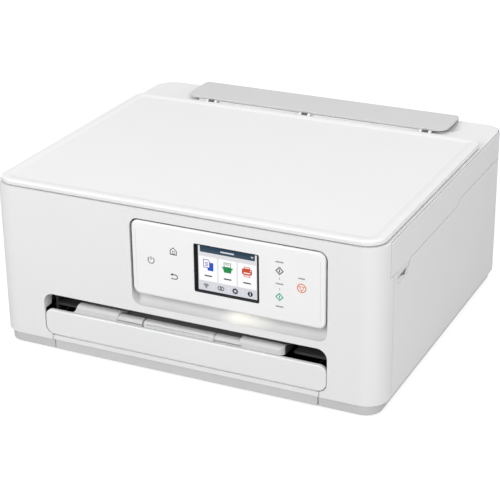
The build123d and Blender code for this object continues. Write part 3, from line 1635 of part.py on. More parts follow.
with BuildPart() as lid_hinges:
    knuckle_half = lid_knuckle_width / 2
    pin_half = knuckle_half + lid_knuckle_gap + lid_ear
    for x in lid_knuckles:
        block(x - knuckle_half, x + knuckle_half, lid_leaf_y1, lid_axis_y, lid_leaf_bottom, lid_leaf_top)
        rod_x(lid_barrel_radius, x - knuckle_half, x + knuckle_half, lid_axis_y, lid_axis_z)
        rod_x(lid_pin_radius, x - pin_half, x + pin_half, lid_axis_y, lid_axis_z)
keep(lid_hinges, "lid_hinges")

# Rear feed: hopper under the deck, two paper guides and the folding paper support
hopper_top = plate_bottom
throat_y0 = well_y0 + hopper_wall
throat_y1 = well_y0 + hopper_throat - hopper_wall
with BuildPart() as rear_hopper:
    outer_outline = (
        (well_y0, hopper_top),
        (well_y1 + hopper_wall, hopper_top),
        (well_y1 + hopper_wall, hopper_top - 2 * hopper_wall),
        (well_y0 + hopper_throat, tub_top),
        (well_y0, tub_top),
    )
    inner_outline = (
        (throat_y0, hopper_top),
        (well_y1 - hopper_wall, hopper_top),
        (well_y1 - hopper_wall, hopper_top - hopper_wall),
        (throat_y1, tub_top),
        (throat_y0, tub_top),
    )
    side_slab(outer_outline, -well_half, well_half)
    side_slab(inner_outline, -well_half + hopper_wall, well_half - hopper_wall, Mode.SUBTRACT)
    for side in (-1, 1):
        x0, x1 = sorted((side * hopper_half_throat, side * well_half))
        block(x0, x1, well_y0, well_y0 + hopper_throat, tub_top, tub_top + hopper_wall)
keep(rear_hopper, "rear_hopper")

slope_run = well_y1 - hopper_wall - throat_y1
slope_rise = hopper_top - hopper_wall - tub_top
slope_length = sqrt(slope_run**2 + slope_rise**2)
guide_dy = slope_run / slope_length
guide_dz = slope_rise / slope_length
for side, guide_name in ((-1, "left_rear_guide"), (1, "right_rear_guide")):
    lift = rear_guide_lift
    start_y = throat_y1 + slope_length / 4 * guide_dy - lift * guide_dz
    start_z = tub_top + slope_length / 4 * guide_dz + lift * guide_dy
    end_y = throat_y1 + 3 * slope_length / 4 * guide_dy - lift * guide_dz
    end_z = tub_top + 3 * slope_length / 4 * guide_dz + lift * guide_dy
    plate_outline = (
        (start_y, start_z),
        (end_y, end_z),
        (end_y - rear_guide_foot / 2, min(end_z + rear_guide_rise, plate_bottom)),
        (throat_y0 + lift + rear_guide_foot / 2, plate_bottom),
        (throat_y0 + lift + rear_guide_foot / 4, start_z + rear_guide_rise / 2),
    )
    foot_outline = (
        (start_y, start_z),
        (end_y, end_z),
        (end_y - rear_guide_plate * guide_dz, end_z + rear_guide_plate * guide_dy),
        (start_y - rear_guide_plate * guide_dz, start_z + rear_guide_plate * guide_dy),
    )
    with BuildPart() as rear_guide:
        x0, x1 = sorted((side * rear_guide_place, side * (rear_guide_place + rear_guide_plate)))
        side_slab(plate_outline, x0, x1)
        x0, x1 = sorted((side * rear_guide_place, side * (rear_guide_place + rear_guide_foot)))
        side_slab(foot_outline, x0, x1)
    keep(rear_guide, guide_name)

with BuildPart() as paper_support:
    support_bottom = support_top - support_thickness
    with BuildSketch(Plane.XY.offset(support_bottom)) as support_plan:
        with Locations((support_centre, (support_y0 + support_axis_y) / 2)):
            Rectangle(2 * support_half, support_axis_y - support_y0)
        fillet(support_plan.vertices().group_by(Axis.Y)[0], support_corner)
    extrude(amount=support_thickness)
    fillet(paper_support.edges().group_by(Axis.Z)[-1].sort_by(Axis.Y)[:3], support_edge_round)
    support_x0 = support_centre - support_half
    support_x1 = support_centre + support_half
    rod_x(support_bead, support_x0, support_x1, support_axis_y, support_axis_z)
    with BuildSketch(Plane.XY.offset(deck)) as support_trim:
        with Locations((support_centre, (support_y0 + support_axis_y + support_bead) / 2)):
            Rectangle(2 * support_half, support_axis_y + support_bead - support_y0)
        fillet(support_trim.vertices().group_by(Axis.Y)[-1], support_rear_corner)
    extrude(amount=support_top - deck, mode=Mode.INTERSECT)
    lug_room = support_lug_radius + support_lug_gap
    swing_reach = 2 * support_bead
    swing_rise = support_lug_gap + swing_reach * tan(radians(support_overswing))
    lug_pocket = (
        (support_axis_y - lug_room, support_axis_z),
        (support_axis_y - lug_room, deck),
        (support_axis_y + swing_reach, deck),
        (support_axis_y + swing_reach, support_axis_z + swing_rise),
        (support_axis_y, support_axis_z + support_lug_gap),
    )
    for side in (-1, 1):
        x = side * support_lug_place
        lug_half = support_lug_width / 2 + support_lug_gap
        side_slab(lug_pocket, x - lug_half, x + lug_half, Mode.SUBTRACT)
        rod_x(lug_room, x - lug_half, x + lug_half, support_axis_y, support_axis_z, Mode.SUBTRACT)
        rod_x(support_pin_radius, x - lug_half, x + lug_half, support_axis_y, support_axis_z)
keep(paper_support, "paper_support")
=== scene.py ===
import math

import bmesh
import bpy
from mathutils import Matrix, Vector


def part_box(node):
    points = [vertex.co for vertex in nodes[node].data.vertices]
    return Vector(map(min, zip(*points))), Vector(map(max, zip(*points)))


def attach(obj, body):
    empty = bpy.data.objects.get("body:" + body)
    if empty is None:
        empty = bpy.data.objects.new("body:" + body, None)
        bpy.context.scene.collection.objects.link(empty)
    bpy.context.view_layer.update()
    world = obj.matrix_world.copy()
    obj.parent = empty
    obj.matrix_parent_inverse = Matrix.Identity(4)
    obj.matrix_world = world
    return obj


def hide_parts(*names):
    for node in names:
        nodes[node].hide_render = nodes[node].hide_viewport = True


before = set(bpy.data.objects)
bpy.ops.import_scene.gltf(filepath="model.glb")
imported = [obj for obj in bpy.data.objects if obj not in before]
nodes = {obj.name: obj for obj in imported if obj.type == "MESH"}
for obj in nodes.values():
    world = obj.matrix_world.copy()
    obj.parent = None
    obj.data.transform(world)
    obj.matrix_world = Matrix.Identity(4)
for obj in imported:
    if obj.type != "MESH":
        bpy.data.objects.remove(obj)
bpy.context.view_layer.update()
mm = 0.001
print("frame loaded:", len(nodes), "solids")


def linear(hexCode):  # sRGB hex to the linear colour that a shader takes
    values = [int(hexCode[i:i + 2], 16) / 255 for i in (1, 3, 5)]
    return [v / 12.92 if v <= 0.04045 else ((v + 0.055) / 1.055) ** 2.4 for v in values] + [1.0]


def addNode(tree, kind, values=None, links=None, **settings):  # one node with its settings and links
    made = tree.nodes.new(kind)
    for key, value in settings.items():
        setattr(made, key, value)
    for key, value in (values or {}).items():
        made.inputs[key].default_value = value
    for key, source in (links or {}).items():
        tree.links.new(source, made.inputs[key])
    return made


def newMaterial(name):  # a bare material, its output and its Object coordinates
    made = bpy.data.materials.new(name)
    made.use_nodes = True
    made.node_tree.nodes.clear()
    output = addNode(made.node_tree, "ShaderNodeOutputMaterial")
    coords = addNode(made.node_tree, "ShaderNodeTexCoord").outputs["Object"]
    return made, made.node_tree, output, coords


def perMm(size):  # texture scale whose pattern repeats about every size millimetres
    return 1 / (size * mm)


def noise(tree, coords, sizeMm, detail, distortion=0.0):  # soft spots of about the size given
    values = {"Scale": perMm(sizeMm), "Detail": detail, "Distortion": distortion}
    return addNode(tree, "ShaderNodeTexNoise", values, {"Vector": coords}).outputs["Fac"]


def blend(tree, start, end, factor):  # one colour passing into another
    return addNode(tree, "ShaderNodeMix", {6: linear(start), 7: linear(end)}, {0: factor},
                   data_type="RGBA").outputs[2]


def spread(tree, pattern, low, high):  # a pattern from 0 to 1, stretched between two values
    return addNode(tree, "ShaderNodeMapRange", {"To Min": low, "To Max": high}, {"Value": pattern}).outputs[0]


def relief(tree, pattern, strength, deepMm):  # a pattern as a fine relief
    return addNode(tree, "ShaderNodeBump", {"Strength": strength, "Distance": deepMm * mm},
                   {"Height": pattern}).outputs[0]


def coat(tree, output, values, links):  # the skin that all the rest of a material feeds
    skin = addNode(tree, "ShaderNodeBsdfPrincipled", values, links)
    tree.links.new(skin.outputs[0], output.inputs[0])


def dress(material, *names):  # gives CAD solids their finish
    for name in names:
        skins = nodes[name].data.materials
        skins.clear()
        skins.append(material)


def addObject(name, data):  # an object at the origin
    made = bpy.data.objects.new(name, data)
    bpy.context.collection.objects.link(made)
    return made


def meshObject(name, bm, material):  # a finished mesh as an object
    mesh = bpy.data.meshes.new(name)
    bm.to_mesh(mesh)
    bm.free()
    mesh.materials.append(material)
    return addObject(name, mesh)


def finishPiece(name, bm, material, body):  # mesh to object, riding on its body
    bmesh.ops.recalc_face_normals(bm, faces=bm.faces)
    made = meshObject(name, bm, material)
    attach(made, body)
    return made


absBase = dict(ior=1.53, cloudDetail=3.0, pitDetail=2.0, pitDeepMm=0.1, roughSpan=0.04)


def mouldedAbs(name, look):
    # ABS from a spark-eroded mould: a satin skin with fine pits, and faint cloudiness from the flow
    made, tree, output, coords = newMaterial(name)
    cloud = noise(tree, coords, look["cloudMm"], absBase["cloudDetail"])
    # pits of about 0.2 mm are too fine for the picture, so they are drawn at the size given
    pits = noise(tree, coords, look["pitMm"], absBase["pitDetail"])
    rough = spread(tree, pits, look["rough"] - absBase["roughSpan"], look["rough"] + absBase["roughSpan"])
    coat(tree, output, {"IOR": absBase["ior"], "Specular IOR Level": look["gloss"]},
         {"Base Color": blend(tree, look["shade"], look["colour"], cloud), "Roughness": rough,
          "Normal": relief(tree, pits, look["pitDepth"], absBase["pitDeepMm"])})
    return made


def paintedShadeAbs(name, faceLook, finishAndShadeLook, axis, shadeFrom):
    # ABS that is pale up to a plane square across one axis and dark past it; the dark is painted shade for gaps
    # and recesses in shadow
    made, tree, output, coords = newMaterial(name)
    cloud = noise(tree, coords, finishAndShadeLook["cloudMm"], absBase["cloudDetail"])
    pale = blend(tree, faceLook["shade"], faceLook["colour"], cloud)
    dark = blend(tree, finishAndShadeLook["shade"], finishAndShadeLook["colour"], cloud)
    along = addNode(tree, "ShaderNodeSeparateXYZ", None, {0: coords}).outputs[axis]
    past = addNode(tree, "ShaderNodeMath", {1: shadeFrom * mm}, {0: along}, operation="GREATER_THAN")
    tint = addNode(tree, "ShaderNodeMix", None, {0: past.outputs[0], 6: pale, 7: dark}, data_type="RGBA")
    pits = noise(tree, coords, finishAndShadeLook["pitMm"], absBase["pitDetail"])
    coat(tree, output, {"IOR": absBase["ior"], "Roughness": finishAndShadeLook["rough"],
                        "Specular IOR Level": finishAndShadeLook["gloss"]},
         {"Base Color": tint.outputs[2],
          "Normal": relief(tree, pits, finishAndShadeLook["pitDepth"], absBase["pitDeepMm"])})
    return made


def sheetSteel(name, look):
    # plated steel sheet: bright crystals, each at its own slight sheen
    made, tree, output, coords = newMaterial(name)
    spangle = addNode(tree, "ShaderNodeTexVoronoi", {"Scale": perMm(look["crystalMm"])},
                      {"Vector": coords}).outputs["Color"]
    coat(tree, output, {"Metallic": 1.0},
         {"Base Color": blend(tree, look["shade"], look["colour"], spangle),
          "Roughness": spread(tree, spangle, look["brightest"], look["dullest"])})
    return made


def turnedSteel(name, look):
    # ground or turned steel: fine rings round the X axis, drawn coarse enough to show
    made, tree, output, coords = newMaterial(name)
    rings = addNode(tree, "ShaderNodeTexWave", {"Scale": perMm(look["ringMm"]) / look["ringsPerUnit"],
                    "Distortion": look["waver"], "Detail": look["detail"]}, {"Vector": coords},
                    bands_direction="X").outputs["Fac"]
    coat(tree, output, {"Metallic": 1.0, "Base Color": linear(look["colour"])},
         {"Roughness": spread(tree, rings, look["brightest"], look["dullest"]),
          "Normal": relief(tree, rings, look["relief"], look["deepMm"])})
    return made


def softRubber(name, look):
    # moulded EPDM: dull black with a bloom of pale dust in its pores
    made, tree, output, coords = newMaterial(name)
    pores = noise(tree, coords, look["poreMm"], look["detail"])
    coat(tree, output, {"IOR": look["ior"], "Roughness": look["rough"], "Specular IOR Level": look["gloss"]},
         {"Base Color": blend(tree, look["colour"], look["bloom"], pores),
          "Normal": relief(tree, pores, look["relief"], look["deepMm"])})
    return made


def acetalNatural(name, look):
    # natural acetal gears and pulleys: milky, slightly waxy, with faint flow marks
    made, tree, output, coords = newMaterial(name)
    flow = noise(tree, coords, look["flowMm"], look["detail"], look["swirl"])
    coat(tree, output, {"IOR": look["ior"], "Roughness": look["rough"], "Subsurface Weight": look["milk"],
                        "Subsurface Scale": look["milkMm"] * mm},
         {"Base Color": blend(tree, look["shade"], look["colour"], flow)})
    return made


def circuitBoard(name, look):
    # glass-epoxy board: green solder mask that stands up a little over its copper tracks
    made, tree, output, coords = newMaterial(name)
    turned = addNode(tree, "ShaderNodeMapping", {"Rotation": (0, math.pi / 2, 0)}, {"Vector": coords})
    mask = linear(look["mask"])
    tracks = addNode(tree, "ShaderNodeTexBrick", {"Scale": perMm(look["trackMm"]) / look["rowsPerUnit"],
                     "Mortar Size": look["trackWide"], "Color1": mask, "Color2": mask,
                     "Mortar": linear(look["track"])}, {"Vector": turned.outputs[0]})
    coat(tree, output, {"IOR": look["ior"], "Roughness": look["rough"]},
         {"Base Color": tracks.outputs["Color"],
          "Normal": relief(tree, tracks.outputs["Fac"], look["relief"], look["deepMm"])})
    return made


feltBase = dict(detail=6.0, tangle=2.0, deepMm=0.3, rough=0.95, gloss=0.15)


def needleFelt(name, look):
    # needled felt or open foam: a mat of short fibres or cells with no shine
    made, tree, output, coords = newMaterial(name)
    fibres = noise(tree, coords, look["fibreMm"], feltBase["detail"], feltBase["tangle"])
    coat(tree, output, {"Roughness": feltBase["rough"], "Specular IOR Level": feltBase["gloss"]},
         {"Base Color": blend(tree, look["shade"], look["colour"], fibres),
          "Normal": relief(tree, fibres, look["relief"], feltBase["deepMm"])})
    return made


def floatGlass(name, look):
    # float glass: clear with a green edge, and a trace of dust that roughens it in places
    made, tree, output, coords = newMaterial(name)
    dust = noise(tree, coords, look["dustMm"], look["detail"])
    coat(tree, output, {"Base Color": linear(look["colour"]), "IOR": look["ior"], "Transmission Weight": 1.0},
         {"Roughness": spread(tree, dust, 0.0, look["haze"])})
    return made


litBase = dict(cellMm=0.6, unlit="#0A0A0A", rough=0.25)


def litPixels(name, look):
    # a back-lit liquid crystal layer: a fine grid of cells, drawn coarser than the real 0.17 mm
    made, tree, output, coords = newMaterial(name)
    cells = addNode(tree, "ShaderNodeTexChecker", {"Scale": perMm(litBase["cellMm"]),
                    "Color1": linear(look["colour"]), "Color2": linear(look["shade"])}, {"Vector": coords})
    coat(tree, output, {"Base Color": linear(litBase["unlit"]), "Roughness": litBase["rough"],
                        "Emission Strength": look["light"]}, {"Emission Color": cells.outputs["Color"]})
    return made


def lightGuide(name, look):
    # frosted polycarbonate strip over one warm white diode: brightest there, dying away to both ends
    made, tree, output, coords = newMaterial(name)
    reach = look["fadeMm"] * mm
    centred = addNode(tree, "ShaderNodeMapping", {"Location": [-v / reach for v in look["diodeAt"]],
                      "Scale": [1 / reach] * 3}, {"Vector": coords})
    fall = addNode(tree, "ShaderNodeTexGradient", None, {"Vector": centred.outputs[0]},
                   gradient_type="SPHERICAL")
    coat(tree, output, {"Base Color": linear(look["body"]), "Roughness": look["rough"],
                        "Emission Strength": look["light"]},
         {"Emission Color": blend(tree, look["edge"], look["core"], fall.outputs["Fac"])})
    return made


inkBase = dict(blotMm=0.8, detail=4.0, ior=1.5, rough=0.55)


def padInk(name, look):
    # pad-printed ink: a thin matt film with a slightly uneven density
    made, tree, output, coords = newMaterial(name)
    blots = noise(tree, coords, inkBase["blotMm"], inkBase["detail"])
    coat(tree, output, {"IOR": inkBase["ior"], "Roughness": inkBase["rough"]},
         {"Base Color": blend(tree, look["shade"], look["colour"], blots)})
    return made


absLooks = {
    "whiteAbs": dict(colour="#EFEFEF", shade="#ECECED", cloudMm=70, pitMm=0.9, pitDepth=0.05, rough=0.42,
                     gloss=0.45),
    "paleGreyAbs": dict(colour="#D2D2D2", shade="#CECECF", cloudMm=60, pitMm=0.9, pitDepth=0.06, rough=0.45,
                        gloss=0.4),
    "trayGreyAbs": dict(colour="#D4D4D4", shade="#CFCFD0", cloudMm=50, pitMm=0.8, pitDepth=0.08, rough=0.4,
                        gloss=0.45),
    "slateAbs": dict(colour="#4C4C4E", shade="#464649", cloudMm=40, pitMm=0.8, pitDepth=0.1, rough=0.5,
                     gloss=0.35),
    "ashAbs": dict(colour="#909092", shade="#89898B", cloudMm=40, pitMm=0.8, pitDepth=0.1, rough=0.5,
                   gloss=0.35),
    "blackAbs": dict(colour="#242427", shade="#1C1C1F", cloudMm=40, pitMm=0.8, pitDepth=0.1, rough=0.6,
                     gloss=0.25),
}
plastic = {name: mouldedAbs(name, look) for name, look in absLooks.items()}
panelWhite = dict(colour="#F7F7F7", shade="#F5F5F5")
# where the painted shade begins, in millimetres along the axis named
panelPaintedShade = paintedShadeAbs("panelPaintedShadeAbs", panelWhite, absLooks["ashAbs"], "Y", -162.6)
cassettePaintedShade = paintedShadeAbs("cassettePaintedShadeAbs", absLooks["paleGreyAbs"], absLooks["blackAbs"], "Y", -160.5)
trayPaintedShade = paintedShadeAbs("trayPaintedShadeAbs", absLooks["trayGreyAbs"], absLooks["slateAbs"], "X", 97.9)
galvanised = sheetSteel("galvanisedSheet", dict(colour="#C9CCD0", shade="#A9ADB2", crystalMm=6,
                                                brightest=0.28, dullest=0.42))
plated = sheetSteel("nickelPlate", dict(colour="#CFCFCE", shade="#BDBDBC", crystalMm=1.5,
                                        brightest=0.19, dullest=0.33))
groundRod = turnedSteel("groundSteel", dict(colour="#C6C8CA", ringMm=1.0, ringsPerUnit=20, waver=1.5, detail=3.0,
                                            brightest=0.16, dullest=0.26, relief=0.08, deepMm=0.05))
epdm = softRubber("epdmRubber", dict(colour="#1B1B1C", bloom="#2A2A2B", poreMm=0.7, detail=4.0, ior=1.5,
                                     rough=0.8, gloss=0.3, relief=0.25, deepMm=0.1))
acetal = acetalNatural("naturalAcetal", dict(colour="#E9E5DA", shade="#DCD7C9", flowMm=6, detail=3.0, swirl=0.8,
                                             ior=1.48, rough=0.35, milk=0.1, milkMm=2.0))
board = circuitBoard("solderMaskBoard", dict(mask="#0F5B34", track="#2A7A4C", trackMm=3.0, rowsPerUnit=4,
                                             trackWide=0.08, ior=1.55, rough=0.3, relief=0.3, deepMm=0.05))
felt = needleFelt("needleFelt", dict(colour="#DEDCD4", shade="#B9B6AC", fibreMm=1.2, relief=0.6))
padFilm = needleFelt("padFoamSheet", dict(colour="#F1F1F0", shade="#E9E9E8", fibreMm=2.0, relief=0.12))
padFoam = needleFelt("polyurethaneFoam", dict(colour="#BDBDBE", shade="#A2A2A4", fibreMm=0.9, relief=0.7))
glass = floatGlass("floatGlass", dict(colour="#E4EFEA", dustMm=9, detail=5.0, ior=1.52, haze=0.06))
lampLow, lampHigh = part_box("status_light")
lampMiddle = (lampLow + lampHigh) / 2
lamp = lightGuide("frostedLightGuide", dict(core="#FCF9DD", edge="#2A281B", body="#E9E7E0", rough=0.5, fadeMm=36,
                                            light=2.6, diodeAt=(46 * mm, lampMiddle.y, lampMiddle.z)))
print("materials made:", len(bpy.data.materials))

dress(plastic["whiteAbs"], "front_panel", "panel_bay", "left_side_cover", "right_side_cover", "rear_panel",
      "rear_access_cover", "scanner_case", "scanner_frame", "document_cover", "cassette_face")
# the ash grey behind the panel's front is painted shade that darkens the gap round the panel
dress(panelPaintedShade, "operation_panel")
dress(plastic["paleGreyAbs"], "base_tray", "paper_support", "rear_hopper", "left_rear_guide", "right_rear_guide")
# the black behind the cassette's front is painted shade inside the slot
dress(cassettePaintedShade, "cassette_tray")
# the slate past x 97.9 mm is painted shade on the end of the tray's right shoulder, inside the slot
dress(trayPaintedShade, "output_tray")
dress(plastic["ashAbs"], "output_extension")
dress(plastic["slateAbs"], "left_cassette_guide", "right_cassette_guide", "cassette_end_guide", "lid_hinges",
      "side_frames")
dress(plastic["blackAbs"], "panel_back_cover", "display_bezel", "mains_inlet", "power_supply", "print_platen",
      "star_wheel_bar", "purge_unit", "rear_feed_guide", "print_carriage", "black_cartridge",
      "colour_cartridge", "scan_sensor")
dress(epdm, "rubber_feet", "toothed_belt", "transport_roller")
dress(galvanised, "main_chassis", "hinge_posts", "feed_motor", "carriage_motor")
dress(plated, "case_screws", "usb_socket", "star_wheels")
dress(groundRod, "carriage_shaft", "feed_roller", "eject_roller")
dress(acetal, "idler_gear", "motor_pinion", "motor_pulley", "idler_pulley")
dress(board, "logic_board")
dress(glass, "scanner_glass")
dress(lamp, "status_light")
print("finishes given to the solids")


# Flat artwork is drawn in millimetres on a sheet, U to the right and V up, then stood on the panel
artwork = dict(cornerSteps=4, degreesPerStep=12, fewestSteps=6, fullTurn=360.0)


def plate(bm, wide, high, at, corner=0.0):  # a rectangle with round corners
    verts = bmesh.ops.create_grid(bm, x_segments=1, y_segments=1, size=0.5)["verts"]
    bmesh.ops.scale(bm, vec=(wide, high, 1), verts=verts)
    bmesh.ops.translate(bm, vec=(*at, 0), verts=verts)
    if corner:
        bmesh.ops.bevel(bm, geom=verts, offset=corner, segments=artwork["cornerSteps"], profile=0.5,
                        affect="VERTICES", material=-1)


def disc(bm, radius, at, sides):  # a round face
    verts = bmesh.ops.create_circle(bm, cap_ends=True, radius=radius, segments=sides)["verts"]
    bmesh.ops.translate(bm, vec=(*at, 0), verts=verts)


def arc(bm, radius, stroke, at, start=0.0, sweep=artwork["fullTurn"]):  # part of a ring, spun from an edge
    a = math.radians(start)
    ends = [bm.verts.new((at[0] + r * math.cos(a), at[1] + r * math.sin(a), 0))
            for r in (radius - stroke / 2, radius + stroke / 2)]
    edge = bm.edges.new(ends)
    steps = max(artwork["fewestSteps"], int(sweep / artwork["degreesPerStep"]))
    bmesh.ops.spin(bm, geom=ends + [edge], cent=(*at, 0), axis=(0, 0, 1), angle=math.radians(sweep), steps=steps,
                   use_merge=sweep == artwork["fullTurn"])


def shape(bm, points, stroke=0.0):  # a face from a few corners, or its outline
    face = bm.faces.new([bm.verts.new((u, v, 0)) for u, v in points])
    if stroke:
        face.normal_update()
        bmesh.ops.inset_region(bm, faces=[face], thickness=stroke, use_even_offset=True, use_boundary=True)
        bmesh.ops.delete(bm, geom=[face], context="FACES_ONLY")


def corners(half, low, high):  # the corners of an upright box, for shape
    return [(-half, low), (half, low), (half, high), (-half, high)]


def vertsOf(geom):  # the vertices in what an operator returns
    return [g for g in geom if isinstance(g, bmesh.types.BMVert)]


def printOnFront(name, strokes, place, thick, material, grow=1.0):  # draws, thickens, stands up
    bm = bmesh.new()
    for tool, *values in strokes:
        tool(bm, *values)
    bmesh.ops.recalc_face_normals(bm, faces=bm.faces)
    grown = bmesh.ops.extrude_face_region(bm, geom=bm.faces[:], use_keep_orig=True)["geom"]
    bmesh.ops.translate(bm, vec=(0, 0, thick), verts=vertsOf(grown))
    stand = Matrix.Translation(place) @ Matrix.Rotation(math.pi / 2, 4, "X") @ Matrix.Scale(mm * grow, 4)
    bmesh.ops.transform(bm, matrix=stand, verts=bm.verts)
    finishPiece(name, bm, material, "panel")


inks = {
    "greyInk": dict(colour="#58595D", shade="#505155"),
    "paleInk": dict(colour="#A3A4A8", shade="#9A9BA0"),
    "rimShadeInk": dict(colour="#DADADC", shade="#D5D5D7"),
    "tealInk": dict(colour="#2FB397", shade="#27A88C"),
    "orangeInk": dict(colour="#E98A62", shade="#E27D52"),
}
ink = {name: padInk(name, look) for name, look in inks.items()}

# Marks on the keys: each at its place on the panel, some larger than drawn, in millimetres
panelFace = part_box("operation_panel")[0].y
press = dict(film=0.02, stroke=0.8, larger=1.18)
stroke, larger = press["stroke"], press["larger"]
startStrokes = [(shape, [(-3.3, 0), (0, -3.3), (3.3, 0), (0, 3.3)], stroke),
                (shape, [(0, -2.0), (0.55, 0), (0, 2.0), (-0.55, 0)])]
nameBars = ((95.7, 130.0, 7.6), (95.7, 110.1, 7.2), (95.7, 89.2, 7.2), (115.8, 118.6, 6.2))
keyMarks = {
    "powerMark": dict(at=(-26.0, 109.7), ink="greyInk", grow=1.0, strokes=[
        (arc, 3.0, stroke, (0, 0), 120, 300), (plate, stroke, 3.4, (0, 2.0))]),
    "homeMark": dict(at=(-4.0, 121.7), ink="greyInk", grow=1.0, strokes=[
        (shape, [(-3.3, -3.4), (3.3, -3.4), (3.3, 0.9), (0, 3.9), (-3.3, 0.9)], stroke),
        (shape, corners(1.3, -2.6, 0.3), 0.5)]),
    "backMark": dict(at=(-4.0, 98.2), ink="greyInk", grow=1.0, strokes=[
        (arc, 2.0, 0.9, (1.3, -0.4), -90, 180), (plate, 3.6, 0.9, (-0.5, 1.6)),
        (plate, 4.2, 0.9, (-0.8, -2.4)), (shape, [(-3.6, 1.6), (-1.2, 0.1), (-1.2, 3.1)])]),
    "startGreyMark": dict(at=(95.7, 122.0), ink="greyInk", grow=larger, strokes=startStrokes),
    "startTealMark": dict(at=(95.6, 98.1), ink="tealInk", grow=larger, strokes=startStrokes),
    "stopMark": dict(at=(115.8, 109.9), ink="orangeInk", grow=larger, strokes=[
        (arc, 3.2, stroke, (0, 0)), (shape, [(-2.5, 1.4), (0, -2.9), (2.5, 1.4)], 0.6)]),
    # short lines that join the two start keys, and plain bars where names would be
    "joinMarks": dict(at=(0, 0), ink="paleInk", grow=1.0, strokes=[
        (plate, 0.6, 2.2, (95.7, 114.9)), (plate, 0.6, 2.2, (95.7, 105.2)),
        *((plate, wide, 1.3, (u, v), 0.6) for u, v, wide in nameBars)]),
    # painted shade: hairlines just inside the panel's ends, standing in for the inner edge of its raised rim
    "rimShadeLines": dict(at=(0, 0), ink="rimShadeInk", grow=1.0, strokes=[
        (plate, 0.3, 54.0, (-40.6, 110.0)), (plate, 0.3, 54.0, (132.6, 110.0))]),
}
for name, mark in keyMarks.items():
    u, v = mark["at"]
    printOnFront(name, mark["strokes"], (u * mm, panelFace, v * mm), press["film"], ink[mark["ink"]],
                 mark["grow"])
print("key marks printed")

# The lit picture on the display: layers level by level towards the eye, in millimetres from its middle
screenLow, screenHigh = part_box("display")
screenMiddle = (screenLow + screenHigh) / 2
screen = dict(wide=55.5, high=41.5, headWide=51.7, headHigh=6.0, cardTop=9.8, cardHigh=22.6, cardWide=17.2,
              cardGap=1.1, nameDrop=6.4, iconRise=4.0, footHigh=8.6, layer=0.04, line=0.6, footLine=0.75,
              waveAt=(-20.5, -1.8), linkAt=(-7.6, -5.4), cogAt=7.0, cogReach=2.4, cogTeeth=8, noteAt=21.1)
litLooks = {
    "litGround": dict(colour="#E6E6EA", shade="#E0E0E5", light=0.95),
    "litHead": dict(colour="#354D5F", shade="#314859", light=0.9),
    "litCard": dict(colour="#FFFFFF", shade="#F8F8FA", light=1.0),
    "litFoot": dict(colour="#DEDFE6", shade="#D8D9E0", light=0.95),
    "litBlue": dict(colour="#1D55D6", shade="#174BC4", light=0.95),
    "litIndigo": dict(colour="#4B3FA8", shade="#44399B", light=0.9),
    "litGreen": dict(colour="#16944A", shade="#128642", light=0.95),
    "litRed": dict(colour="#D9532F", shade="#CC4825", light=0.95),
    "litNavy": dict(colour="#16324A", shade="#122B40", light=0.9),
    "litWord": dict(colour="#55585E", shade="#4E5157", light=0.9),
}
lit = {name: litPixels(name, look) for name, look in litLooks.items()}
dress(lit["litGround"], "display")

